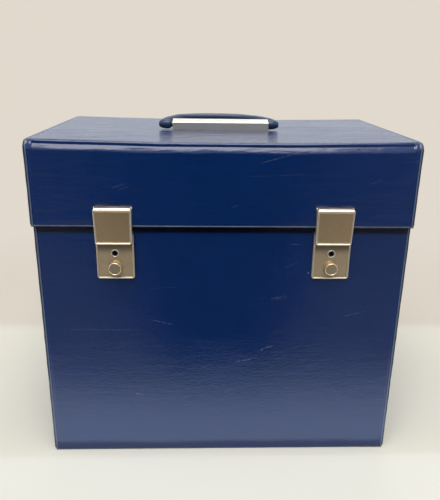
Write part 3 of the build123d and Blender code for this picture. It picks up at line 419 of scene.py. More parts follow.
def leather_grain() -> bpy.types.NodeTree:
    """Embossed leather grain: small pebbles, and long shallow creases that lean a little."""
    e = Effect("Leather grain", {"Place": (0, 0, 0), "Pebble": 1.1, "Crease": 6.0, "Stretch": 3.4, "Depth": 1.0,
                               "Waves": 0.2}, ["Height", "Valley"])
    g, i = e.graph, e.inside
    turned = g.node("VectorRotate", {"Vector": i["Place"], "Angle": math.radians(-9)}, rotation_type="Z_AXIS")
    flat = g.node("SeparateXYZ", {0: turned.outputs[0]})
    long_u = g.math("DIVIDE", flat.outputs[0], i["Stretch"])
    drawn = g.node("CombineXYZ", {0: long_u, 1: flat.outputs[1], 2: flat.outputs[2]}).outputs[0]
    crease_scale = g.math("DIVIDE", 1000.0, i["Crease"])
    bend = g.node("TexNoise", {"Vector": i["Place"], "Scale": 45.0, "Detail": 2.0}).outputs["Color"]
    warped = g.vector("ADD", drawn, g.vector("MULTIPLY", bend, (0.002, 0.005, 0.0)).outputs[0]).outputs[0]
    ridges = g.node("TexVoronoi", {"Vector": warped, "Scale": crease_scale, "Randomness": 1.0},
                    feature="DISTANCE_TO_EDGE").outputs["Distance"]
    furrow = g.minus(1.0, g.step(ridges, 0.0, 0.16))
    patch = g.step(g.noise(i["Place"], 38.0, 3.0), 0.44, 0.66)
    furrow = g.times(furrow, patch)
    pebble_scale = g.math("DIVIDE", 1000.0, i["Pebble"])
    cells = g.node("TexVoronoi", {"Vector": i["Place"], "Scale": pebble_scale, "Smoothness": 0.6,
                                  "Randomness": 0.9}, feature="SMOOTH_F1").outputs["Distance"]
    pebbles = g.minus(1.0, g.step(cells, 0.1, 0.75))
    fine = g.noise(drawn, g.times(crease_scale, 3.2), 3.0, 0.6)
    ripple = g.times(g.noise(drawn, g.times(crease_scale, 1.3), 2.0, 0.5), patch)
    height = g.plus(g.times(pebbles, 0.03), g.times(fine, 0.13))
    height = g.plus(height, g.times(ripple, 0.16))
    height = g.minus(height, g.times(furrow, 0.03))
    long_place = g.vector("MULTIPLY", i["Place"], (0.16, 1.0, 1.0)).outputs[0]
    waves = g.times(g.noise(long_place, 120.0, 2.0), i["Waves"])
    return e.give(Height=g.plus(g.times(height, i["Depth"]), waves), Valley=furrow)


def edge_wear() -> bpy.types.NodeTree:
    """Rubbed edges: the mask follows the edge but is broken up."""
    e = Effect("Edge wear", {"Place": (0, 0, 0), "Edge": 0.0, "Reach": 0.5, "Breakup": 0.5, "Scale": 180.0}, ["Mask"])
    g, i = e.graph, e.inside
    spots = g.noise(i["Place"], i["Scale"], 4.0, 0.65)
    limit = g.plus(i["Reach"], g.times(g.minus(spots, 0.5), i["Breakup"]))
    low = g.minus(1.0, limit)
    return e.give(Mask=g.step(i["Edge"], low, g.plus(low, 0.3)))


def blotches() -> bpy.types.NodeTree:
    """Soft irregular patches, and sparse small specks."""
    e = Effect("Blotches", {"Place": (0, 0, 0), "Size": 6.0, "Contrast": 1.0, "Specks": 0.6}, ["Patches", "Specks"])
    g, i = e.graph, e.inside
    scale = g.math("DIVIDE", 1000.0, i["Size"])
    cloud = g.noise(i["Place"], scale, 4.0, 0.6, 0.3)
    patches = g.plus(0.5, g.times(g.minus(cloud, 0.5), i["Contrast"]), clamp=True)
    dots = g.node("TexVoronoi", {"Vector": i["Place"], "Scale": g.times(scale, 3.0)}).outputs["Distance"]
    rare = g.step(g.noise(i["Place"], g.times(scale, 1.7), 1.0), 0.6, 0.7)
    spots = g.times(g.minus(1.0, g.step(dots, 0.05, 0.22)), rare)
    return e.give(Patches=patches, Specks=g.times(spots, i["Specks"]))


def fine_lines() -> bpy.types.NodeTree:
    """Fine polishing lines along one direction, with a few crossing scratches."""
    e = Effect("Fine lines", {"Place": (0, 0, 0), "Along": (0.03, 1.0, 1.0), "Pitch": 0.35}, ["Height", "Scratches"])
    g, i = e.graph, e.inside
    scale = g.math("DIVIDE", 1000.0, i["Pitch"])
    drawn = g.vector("MULTIPLY", i["Place"], i["Along"]).outputs[0]
    lines = g.noise(drawn, scale, 3.0, 0.7)
    turned = g.node("VectorRotate", {"Vector": i["Place"], "Angle": 0.9}, rotation_type="Y_AXIS").outputs[0]
    crossing = g.noise(g.vector("MULTIPLY", turned, (0.02, 1.0, 1.0)).outputs[0], 420.0, 1.0)
    return e.give(Height=lines, Scratches=g.step(crossing, 0.7, 0.78))


def long_scratch() -> bpy.types.NodeTree:
    """One scratch between two places on the surface, bowed and broken up."""
    e = Effect("Long scratch", {"Place": (0, 0, 0), "Start": (0, 0, 0), "End": (0.01, 0, 0), "Bow": 0.0,
                                "Width": 0.5, "Strength": 0.5}, ["Mask"])
    g, i = e.graph, e.inside
    run = g.vector("SUBTRACT", i["End"], i["Start"]).outputs[0]
    here = g.vector("SUBTRACT", i["Place"], i["Start"]).outputs[0]
    length2 = g.vector("DOT_PRODUCT", run, run).outputs["Value"]
    t = g.math("DIVIDE", g.vector("DOT_PRODUCT", here, run).outputs["Value"], length2, clamp=True)
    on_line = g.node("VectorMath", {0: run, 3: t}, operation="SCALE").outputs[0]
    away = g.vector("SUBTRACT", here, on_line).outputs[0]
    parts = g.node("SeparateXYZ", {0: away})
    arch = g.times(g.times(t, g.minus(1.0, t)), g.times(i["Bow"], 0.004))
    bent = g.node("CombineXYZ", {0: parts.outputs[0], 1: g.minus(parts.outputs[1], arch), 2: 0.0})
    gap = g.vector("LENGTH", bent.outputs[0]).outputs["Value"]
    wide = g.times(i["Width"], 0.001)
    line = g.minus(1.0, g.step(gap, 0.0, wide))
    broken = g.step(g.noise(i["Place"], 260.0, 3.0, 0.7), 0.36, 0.6)
    fade = g.times(g.step(t, 0.0, 0.15), g.minus(1.0, g.step(t, 0.8, 1.0)))
    mask = g.times(g.times(line, broken), g.times(fade, i["Strength"]))
    return e.give(Mask=mask)


def settled_dust() -> bpy.types.NodeTree:
    """Fine dust on faces that look up."""
    e = Effect("Settled dust", {"Place": (0, 0, 0), "Amount": 0.3}, ["Mask"])
    g, i = e.graph, e.inside
    up = g.node("SeparateXYZ", {0: g.node("NewGeometry").outputs["True Normal"]}).outputs[2]
    specks = g.step(g.noise(i["Place"], 900.0, 3.0, 0.7), 0.45, 0.8)
    return e.give(Mask=g.times(g.times(g.step(up, 0.3, 0.95), specks), i["Amount"]))


@dataclass
class Effects:
    """All the shared effects, each built once."""

    grain: bpy.types.NodeTree = field(default_factory=leather_grain)
    wear: bpy.types.NodeTree = field(default_factory=edge_wear)
    blotches: bpy.types.NodeTree = field(default_factory=blotches)
    lines: bpy.types.NodeTree = field(default_factory=fine_lines)
    scratch: bpy.types.NodeTree = field(default_factory=long_scratch)
    dust: bpy.types.NodeTree = field(default_factory=settled_dust)


def new_material(name: str) -> tuple[bpy.types.Material, Graph, bpy.types.Node]:
    """An empty node material.

    Args:
        name: The material's name.

    Returns:
        The material, its graph and its surface shader.
    """
    material = bpy.data.materials.new(name)
    material.use_nodes = True
    tree = material.node_tree
    tree.nodes.clear()
    graph = Graph(tree)
    shader = graph.node("BsdfPrincipled")
    graph.node("OutputMaterial", {"Surface": shader.outputs[0]})
    return material, graph, shader


def join(graph: Graph, shader: bpy.types.Node, **sockets: Socket) -> None:
    """Joins varying values to the shader's sockets, by their names with underscores."""
    for name, socket in sockets.items():
        graph.tree.links.new(socket, shader.inputs[name.replace("_", " ")])


# ------------------------------------------------------------------ finishes
DUST_ON_VINYL = (0.5, 0.5, 0.48, 1)
DUST_ON_PLASTIC = (0.4, 0.41, 0.42, 1)
# Colour of the band painted dark as shade just under the lid's edge.
PAINTED_SHADE_ON_VINYL = (0.0004, 0.0010, 0.0045, 1)
# Colour of a recess painted black as shade.
PAINTED_KEYWAY_SHADE = (0.006, 0.005, 0.004, 1)


@dataclass(frozen=True)
class Scratch:
    """A single scratch.

    Attributes:
        start: Where it starts, by the surface's coordinates in millimetres.
        end: Where it ends.
        width: Its width, in millimetres.
        strength: How strongly it shows, up to 1.
        bow: How far its middle is bowed upward, in millimetres.
    """

    start: tuple[float, float]
    end: tuple[float, float]
    width: float = 0.8
    strength: float = 0.5
    bow: float = 0.0


@dataclass(frozen=True)
class Vinyl:
    """Leather-grained PVC cloth.

    Attributes:
        name: The material's name.
        colour: Its colour, linear.
        worn_and_highlight: The colour of scratches and rubbed edges; its pale lines along the seams and lower edges
            are partly rubbing, partly a painted highlight.
        rough: Mean roughness.
        depth: Depth of the grain.
        waves: Height of the long low waves, in millimetres.
        crease: Spacing of the creases, in millimetres.
        scratches: Single scratches that this piece has.
        painted_shade_band: Heights, in millimetres up the surface, between which a painted shade darkens the band
            just under the lid's edge.
    """

    name: str
    colour: tuple[float, float, float] = (0.0005, 0.0207, 0.122)
    worn_and_highlight: tuple[float, float, float] = (0.10, 0.14, 0.22)
    rough: float = 0.155
    depth: float = 1.0
    waves: float = 0.15
    crease: float = 6.0
    scratches: tuple[Scratch, ...] = ()
    painted_shade_band: tuple[float, float] | None = None

    def material(self, effects: Effects) -> bpy.types.Material:
        """Builds the material.

        Args:
            effects: The shared effects.

        Returns:
            The finished material.
        """
        made, g, shader = new_material(self.name)
        place = g.node("UVMap", uv_map="Surface").outputs[0]
        edge = g.node("Attribute", attribute_name="edge").outputs["Fac"]
        grain = g.group(effects.grain, {"Place": place, "Depth": self.depth, "Crease": self.crease,
                                        "Waves": self.waves})
        wear = g.group(effects.wear, {"Place": place, "Edge": edge, "Reach": 0.42, "Breakup": 0.75}).outputs["Mask"]
        patches = g.group(effects.blotches, {"Place": place, "Size": 60.0, "Contrast": 0.8, "Specks": 0.4})
        dust = g.group(effects.dust, {"Place": place, "Amount": 0.10}).outputs["Mask"]
        dark = (*[c * 0.82 for c in self.colour], 1)
        light = (*[c * 1.15 + 0.0008 for c in self.colour], 1)
        colour = g.mix(patches.outputs["Patches"], dark, light)
        # Painted shade: the grain's furrows are darkened towards half the colour.
        colour = g.mix(g.times(grain.outputs["Valley"], 0.15), colour, (*[c * 0.5 for c in self.colour], 1))
        marks = wear
        for s in self.scratches:
            mark = g.group(effects.scratch, {"Place": place, "Start": (s.start[0] * MM, s.start[1] * MM, 0),
                                             "End": (s.end[0] * MM, s.end[1] * MM, 0), "Bow": s.bow,
                                             "Width": s.width, "Strength": s.strength}).outputs["Mask"]
            marks = g.math("MAXIMUM", marks, mark)
        marks = g.math("MAXIMUM", marks, g.times(patches.outputs["Specks"], 0.12))
        # The marks take the pale colour: scratches and specks are real marks, while the pale lines along seams and
        # lower edges are partly rubbing, partly a painted highlight.
        colour = g.mix(marks, colour, (*self.worn_and_highlight, 1))
        colour = g.mix(dust, colour, DUST_ON_VINYL)
        # Painted shade: a dark band across the body's front, just under the lid's edge, stands in for the lid's
        # shadow.
        if self.painted_shade_band:
            low, high = (v * MM for v in self.painted_shade_band)
            lid_shade = g.step(g.node("SeparateXYZ", {0: place}).outputs[1], low, high)
            colour = g.mix(g.times(lid_shade, 0.9), colour, PAINTED_SHADE_ON_VINYL)
        rough = g.plus(self.rough - 0.05, g.times(patches.outputs["Patches"], 0.1))
        rough = g.plus(rough, g.times(marks, 0.18), clamp=True)
        height = g.minus(grain.outputs["Height"], g.times(marks, 0.02))
        join(g, shader, Base_Color=colour, Roughness=rough, Normal=g.bump(height))
        shader.inputs["Specular IOR Level"].default_value = 0.62
        return made


@dataclass(frozen=True)
class Metal:
    """Plated steel.

    Attributes:
        name: The material's name.
        colour: Reflected colour of clean metal.
        stain: Reflected colour of the duller patches.
        rough: Mean roughness.
        along: Which way the polishing lines run, by how little each axis counts.
        size: Size of the duller patches, in millimetres.
        hollow: Depths from the front, as y in metres, between which a recess is painted black as shade.
        metallic: Less than 1 where a dull film lies on the metal.
        bare_and_highlight: Colour of its marked edges, where the piece marks any: partly rubbed plating, partly a
            painted highlight.
        painted_shade_band: Heights, as z in metres, between which a painted shade darkens the colour towards brown.
    """

    name: str
    colour: tuple[float, float, float]
    stain: tuple[float, float, float]
    rough: float
    along: tuple[float, float, float] = (0.04, 1.0, 1.0)
    size: float = 5.0
    hollow: tuple[float, float] | None = None
    metallic: float = 1.0
    bare_and_highlight: tuple[float, float, float] | None = None
    painted_shade_band: tuple[float, float] | None = None

    def material(self, effects: Effects) -> bpy.types.Material:
        """Builds the material.

        Args:
            effects: The shared effects.

        Returns:
            The finished material.
        """
        made, g, shader = new_material(self.name)
        place = g.node("TexCoord").outputs["Object"]
        spots = g.group(effects.blotches, {"Place": place, "Size": self.size, "Contrast": 1.6, "Specks": 0.8})
        lines = g.group(effects.lines, {"Place": place, "Along": self.along})
        share = g.math("MAXIMUM", g.times(spots.outputs["Patches"], 0.6), spots.outputs["Specks"])
        colour = g.mix(share, (*self.colour, 1), (*self.stain, 1))
        # The marked edges take the paler colour: partly rubbed plating, partly a painted highlight.
        if self.bare_and_highlight:
            edge = g.node("Attribute", attribute_name="edge").outputs["Fac"]
            rubbed = g.times(g.step(edge, 0.15, 0.75), g.step(spots.outputs["Patches"], -0.6, 0.6))
            colour = g.mix(rubbed, colour, (*self.bare_and_highlight, 1))
        # Painted shade: the colour darkens towards brown under the hasp, standing in for its shadow.
        if self.painted_shade_band:
            high = g.step(g.node("SeparateXYZ", {0: place}).outputs[2], *self.painted_shade_band)
            colour = g.mix(g.times(high, 0.72), colour, (*[c * 0.22 for c in self.stain], 1))
        # Painted shade: a recess, such as the key plug's keyway, turns black below its face.
        if self.hollow:
            depth = g.step(g.node("SeparateXYZ", {0: place}).outputs[1], *self.hollow)
            colour = g.mix(depth, colour, PAINTED_KEYWAY_SHADE)
        rough = g.plus(self.rough - 0.06, g.times(spots.outputs["Patches"], 0.12))
        rough = g.minus(rough, g.times(lines.outputs["Scratches"], 0.05))
        height = g.minus(g.times(lines.outputs["Height"], 0.006),
                        g.times(lines.outputs["Scratches"], 0.004))
        join(g, shader, Base_Color=colour, Roughness=rough, Normal=g.bump(height))
        shader.inputs["Metallic"].default_value = self.metallic
        return made


@dataclass(frozen=True)
class Fibre:
    """Pressed board or lining paper.

    Attributes:
        name: The material's name.
        colour: Mean colour.
        fleck: Colour of the fibres and flecks.
        size: Size of its mottling, in millimetres.
        depth: Depth of its texture.
    """

    name: str
    colour: tuple[float, float, float]
    fleck: tuple[float, float, float]
    size: float
    depth: float

    def material(self, effects: Effects) -> bpy.types.Material:
        """Builds the material.

        Args:
            effects: The shared effects.

        Returns:
            The finished material.
        """
        made, g, shader = new_material(self.name)
        place = g.node("TexCoord").outputs["Object"]
        spots = g.group(effects.blotches, {"Place": place, "Size": self.size, "Contrast": 1.8, "Specks": 1.0})
        fibres = g.group(effects.lines, {"Place": place, "Along": (0.2, 1.0, 0.7), "Pitch": 0.8})
        colour = g.mix(g.times(spots.outputs["Patches"], 0.35), (*self.colour, 1), (*self.fleck, 1))
        colour = g.mix(g.times(spots.outputs["Specks"], 0.7), colour, (*self.fleck, 1))
        height = g.times(fibres.outputs["Height"], self.depth)
        bump = g.node("Bump", {"Strength": 1.0, "Distance": MM, "Height": height}).outputs[0]
        rough = g.plus(0.72, g.times(spots.outputs["Patches"], 0.2))
        join(g, shader, Base_Color=colour, Roughness=rough, Normal=bump)
        return made


@dataclass(frozen=True)
class Plastic:
    """Soft moulded plastic of the grip, rubbed lighter where the hand holds it.

    Attributes:
        name: The material's name.
        colour: Its colour, linear.
        rubbed: Its colour where it is rubbed.
        rough: Mean roughness.
    """

    name: str
    colour: tuple[float, float, float] = (0.012, 0.03, 0.085)
    rubbed: tuple[float, float, float] = (0.10, 0.13, 0.19)
    rough: float = 0.36

    def material(self, effects: Effects) -> bpy.types.Material:
        """Builds the material.

        Args:
            effects: The shared effects.

        Returns:
            The finished material.
        """
        made, g, shader = new_material(self.name)
        place = g.node("TexCoord").outputs["Object"]
        edge = g.node("Attribute", attribute_name="edge").outputs["Fac"]
        spots = g.group(effects.blotches, {"Place": place, "Size": 9.0, "Contrast": 1.5, "Specks": 0.5})
        wear = g.group(effects.wear, {"Place": place, "Edge": edge, "Reach": 0.5, "Breakup": 0.5}).outputs["Mask"]
        dust = g.group(effects.dust, {"Place": place, "Amount": 0.12}).outputs["Mask"]
        colour = g.mix(g.times(spots.outputs["Patches"], 0.5), (*self.colour, 1),
                       (*[c * 1.5 for c in self.colour], 1))
        colour = g.mix(g.times(wear, 0.6), colour, (*self.rubbed, 1))
        colour = g.mix(dust, colour, DUST_ON_PLASTIC)
        rough = g.plus(self.rough - 0.04, g.times(spots.outputs["Patches"], 0.12))
        height = g.times(g.noise(place, 1500.0, 3.0, 0.6), 0.02)
        join(g, shader, Base_Color=colour, Roughness=rough, Normal=g.bump(height))
        return made


class Slot(Enum):
    """The record's material slots."""

    VINYL = "blue_vinyl"
    SEAM = "vinyl_seam"
    BOARD = "greyboard"
    LINING = "lining"
    SATIN = "satin_nickel"
    BRIGHT = "bright_nickel"
    STEEL = "inner_steel"
    SPRING = "spring_steel"
    PLASTIC = "grip_plastic"


def dress(piece: Piece, material: bpy.types.Material) -> None:
    """Gives a piece its material."""
    piece.data.materials.clear()
    piece.data.materials.append(material)


# ------------------------------------------------------------------ the vinyl covering
def span(node: str) -> tuple[Array, Array]:
    """Lowest and highest corner of a CAD node, as arrays."""
    low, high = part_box(node)
    return np.array(low), np.array(high)


def joint_named(name: str) -> dict:
    """One of the model's joints."""
    return next(j for j in frame["joints"] if j["name"] == name)


def side_name(side: int) -> str:
    """The word for a side in the names of pieces."""
    return "left" if side < 0 else "right"


def side_skin(name: str, side: int, skin: float, y: Array, z: Array, border: Array, swell: Array,
              seed: int) -> Piece:
    """The skin of one side cover, creased and pressed in along its border.

    Args:
        name: The CAD cover that it stands for.
        side: -1 for the left cover, 1 for the right one.
        skin: Its thickness.
        y: Places of its points, from front to back.
        z: Their heights.
        border: Their distances from the border.
        swell: Soft swells at each of them.
        seed: Seed of the creases.

    Returns:
        The skin, without its finish.
    """
    low, high = span(name)
    crease = Waves(seed=seed + side, shortest=0.005, longest=0.02, stretch=5.0, lean=6, count=56).at(y, z)
    crease = crease * 0.02 * MM
    height = smooth_step(0.5 * MM, 6 * MM, border) * (swell + crease)
    height = height - 0.3 * MM * np.exp(-((border - 3.2 * MM) / (0.9 * MM)) ** 2)
    face = high[0] if side > 0 else low[0]
    outer = np.stack([face + side * height, y, z], -1)
    inner = np.stack([np.full_like(z, face - side * skin), y, z], -1)
    uv, edge = np.stack([side * y, z], -1), np.exp(-border / (0.8 * MM))
    if side < 0:
        outer, inner, uv, edge = outer[:, ::-1], inner[:, ::-1], uv[:, ::-1], edge[:, ::-1]
    return skin_piece(name.replace("cover", "side_vinyl"), outer, inner, uv, edge)


@dataclass
class LidForm:
    """The lid's outer form, taken from its CAD wrap and covers.

    Attributes:
        margin: How far the top's level middle reaches beyond the handle's channel.
        dip: How much lower the top is in its middle.
        front_round: Reach of the rounded front edge.
        back_round: Radius of the back edge.
        skin: Thickness of the vinyl.
    """

    margin: float = 6 * MM
    dip: float = 2.1 * MM
    front_round: float = 10.5 * MM
    back_round: float = 3.0 * MM
    skin: float = 0.8 * MM

    def __post_init__(self) -> None:
        """Reads the planes from the model."""
        low, high = span("lid_wrap")
        self.front, self.back = low[1], high[1]
        self.half, self.edge_top = high[0], high[2]
        self.wall_low = low[2]
        channel_low, channel_high = span("handle_channel")
        self.flat = max(-channel_low[0], channel_high[0]) + self.margin

    def top(self, x: Array) -> Array:
        """Height of the top panel at x."""
        share = np.clip((np.abs(x) - self.flat) / (self.half - self.flat), 0, 1)
        return self.edge_top - self.dip * (1 - share ** 1.1) + 0.05 * MM


@dataclass
class LidCovering:
    """The lid's vinyl: one wrap over front, top and back, and two side covers.

    Attributes:
        form: The lid's outer form.
        groove_end: How far short of the sides the groove over the front ends.
        side_lap: How far the wrap reaches out over the side covers.
        side_round: Radius of the side covers' upper front corner.
        brow_rows: Rows of points over the rounded front edge.
        plain_brow: Section of that edge at the sides, from the front up, as (distance behind the front, depth
            below the top) in millimetres.
        grooved_brow: The section between them, with the weld groove and the roll below it.
    """

    form: LidForm
    groove_end: float = 6.5 * MM
    side_lap: float = 0.9 * MM
    side_round: float = 8 * MM
    brow_rows: int = 64
    plain_brow: tuple[tuple[float, float], ...] = (
        (0, 10.5), (0.04, 8.6), (0.35, 6.6), (1.05, 4.6), (2.1, 2.8), (3.7, 1.4), (5.8, 0.45), (8.0, 0.06),
        (10.5, 0))
    grooved_brow: tuple[tuple[float, float], ...] = (
        (0, 10.5), (-0.02, 9.6), (0.08, 8.7), (0.35, 7.8), (0.78, 6.8), (1.24, 5.9), (1.56, 5.3), (1.86, 4.8),
        (2.12, 4.4), (2.34, 4.12), (2.52, 3.8), (2.62, 3.4), (2.6, 2.8), (2.56, 2.2), (2.58, 1.7), (2.78, 1.15),
        (3.3, 0.65), (4.2, 0.28), (5.6, 0.07), (10.5, 0))

    def build_wrap(self, material: bpy.types.Material) -> Piece:
        """The wrap that covers front, top and back.

        Args:
            material: Its finish.

        Returns:
            The finished piece.
        """
        f = self.form
        half = f.half + self.side_lap
        end = half - self.groove_end
        x = spaced([(-half, 0.35 * MM), (-half + 3 * MM, 0.7 * MM), (-end + 4 * MM, 1.6 * MM),
                    (end - 4 * MM, 0.7 * MM), (half - 3 * MM, 0.35 * MM), (half, 1)])
        top = f.top(x)
        low = f.wall_low + 0.2 * MM
        front_z = spaced([(0, 0.02), (1, 1)])
        wall = top - f.front_round - low
        front = np.stack([np.broadcast_to(f.front, (len(front_z), len(x))),
                          low + front_z[:, None] * wall[None, :]], -1)
        plain, grooved = (curve_through(list(points), self.brow_rows) * MM
                          for points in (self.plain_brow, self.grooved_brow))
        share = 1 - smooth_step(end - 0.6 * MM, end + 1.6 * MM, np.abs(x))
        section = plain[:, None, :] * (1 - share)[None, :, None] + grooved[:, None, :] * share[None, :, None]
        brow = np.stack([f.front + section[..., 0], top[None, :] - section[..., 1]], -1)
        top_y = spaced([(f.front + f.front_round, 1.6 * MM), (f.back - f.back_round, 1)])
        roof = np.stack([np.broadcast_to(top_y[:, None], (len(top_y), len(x))),
                         np.broadcast_to(top[None, :], (len(top_y), len(x)))], -1)
        turn = np.linspace(0, math.pi / 2, 9)[:, None]
        nape = np.stack([np.broadcast_to(f.back - f.back_round + f.back_round * np.sin(turn), (9, len(x))),
                         top[None, :] - f.back_round + f.back_round * np.cos(turn)], -1)
        back_z = np.linspace(1, 0, 44)[:, None]
        rear = np.stack([np.broadcast_to(f.back, (44, len(x))),
                         low + back_z * (top - f.back_round - low)[None, :]], -1)
        line = np.concatenate([front, brow[1:], roof[1:], nape[1:], rear[1:]])
        slope = np.gradient(line, axis=0)
        slope /= np.linalg.norm(slope, axis=-1, keepdims=True) + 1e-12
        normal = np.stack([-slope[..., 1], slope[..., 0]], -1)
        lengths = np.linalg.norm(np.diff(line, axis=0), axis=-1)
        run = np.concatenate([np.zeros((1, len(x))), np.cumsum(lengths, axis=0)])
        u = np.broadcast_to(x[None, :], run.shape)
        inward, rim = half - np.abs(u), np.minimum(run, run[-1] - run)
        height = self.relief(u, run, inward, rim)
        outer = line + normal * height[..., None]
        inner = line - normal * f.skin
        # The edge mask marks the side seams and the lower edge for the pale colour: partly rubbing, partly a painted
        # highlight.
        edge = np.maximum(1 - smooth_step(0.9 * MM, 1.9 * MM, inward), 0.75 * np.exp(-rim / (0.8 * MM)))
        piece = skin_piece("lid_vinyl", with_x(u, outer)[::-1], with_x(u, inner)[::-1],
                           np.stack([u, run], -1)[::-1], edge[::-1])
        dress(piece, material)
        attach(piece, "lid")
        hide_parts("lid_wrap")
        return piece

    def relief(self, u: Array, v: Array, inward: Array, rim: Array) -> Array:
        """Height of the wrap over its plain form.

        Args:
            u: Places along the case.
            v: Places up the front and over the top.
            inward: Distances from the wrap's side edges.
            rim: Distances from its lower edges.

        Returns:
            Soft swells, creases and the pressed line beside each seam, together.
        """
        swell = Waves(seed=3, shortest=0.06, longest=0.22).at(u, v) * 0.16 * MM
        crease = Waves(seed=4, shortest=0.0045, longest=0.018, stretch=6.0, lean=-8, count=64).at(u, v)
        tuft = smooth_step(0.1, 1.2, Waves(seed=5, shortest=0.03, longest=0.09).at(u, v))
        valley = -0.28 * MM * np.exp(-((inward - 2.2 * MM) / (0.7 * MM)) ** 2)
        lip = -0.35 * MM * np.exp(-inward / (0.35 * MM))
        fade = smooth_step(0.5 * MM, 4 * MM, np.minimum(inward, rim))
        return fade * (swell + crease * tuft * 0.03 * MM) + valley + lip - 0.3 * MM * np.exp(-rim / (0.3 * MM))

    def side_cover(self, side: int, material: bpy.types.Material) -> Piece:
        """One side cover, with the lid's rounded corners.

        Args:
            side: -1 for the left cover, 1 for the right one.
            material: Its finish.

        Returns:
            The finished piece.
        """
        f = self.form
        name = f"lid_{side_name(side)}_cover"
        low, high = span(name)
        reach, small = self.side_round, f.back_round
        y = spaced([(low[1], 0.3 * MM), (low[1] + reach, 1.7 * MM), (high[1] - small, 0.3 * MM), (high[1], 1)])
        from_front = np.clip(reach - (y - low[1]), 0, reach)
        from_back = np.clip(small - (high[1] - y), 0, small)
        roof = (high[2] - (reach - np.sqrt(reach ** 2 - from_front ** 2))
                - (small - np.sqrt(small ** 2 - from_back ** 2)))
        z = np.linspace(0, 1, 60)[:, None]
        z = low[2] + z * (roof - low[2])[None, :]
        y = np.broadcast_to(y[None, :], z.shape)
        border = np.minimum.reduce([y - low[1], high[1] - y, roof[None, :] - z + 0 * y, z - low[2] + 3 * MM])
        swell = Waves(seed=21 + side, shortest=0.05, longest=0.18).at(y, z) * 0.18 * MM
        piece = side_skin(name, side, f.skin, y, z, border, swell, seed=25)
        dress(piece, material)
        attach(piece, "lid")
        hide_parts(name)
        return piece


def seam_rings(line: Array, face: float, proud: float, side: int, pitch: float = 1.9 * MM) -> tuple[Array, Array]:
    """Rings of a pressed welded fin that stands out sideways along a line in the YZ plane.

    Args:
        line: Points of its middle line as (y, z), drawn so that outside lies to the left.
        face: x of the panel that it stands on.
        proud: How far it stands out.
        side: -1 for the left side of the case, 1 for the right one.
        pitch: Distance between its pressed ribs.

    Returns:
        The rings, and the wear at each of their points.
    """
    slope = directions(line)
    outward = np.stack([-slope[:, 1], slope[:, 0]], 1)
    run = run_along(line)
    rib = 0.5 - 0.5 * np.cos(2 * np.pi * run / pitch)
    wander = Waves(seed=31, shortest=0.012, longest=0.06).at(run, run * 0) * 0.12 * MM
    outline = [(-1.0, -0.4), (-1.0, 0.55), (-0.8, 0.85), (-0.35, 1.0), (0.35, 1.0), (0.8, 0.85), (1.0, 0.5),
               (1.0, -0.4)]
    rings, wear = [], []
    for across, out in outline:
        tip = out > 0.8
        x = face + side * (out * (proud + 0.45 * MM) + (wander - 0.22 * MM * rib) * tip)
        offset = across * 1.0 * MM + (wander * 0.5)
        squeeze = 1 - 0.12 * rib * (out > 0.4)
        yz = line + outward * (offset * squeeze)[:, None]
        rings.append(with_x(np.broadcast_to(x, len(line)), yz))
        wear.append(np.full(len(line), 0.35 if tip else 0.1))
    rings, wear = np.stack(rings, 1), np.stack(wear, 1)
    return (rings[:, ::-1], wear[:, ::-1]) if side < 0 else (rings, wear)


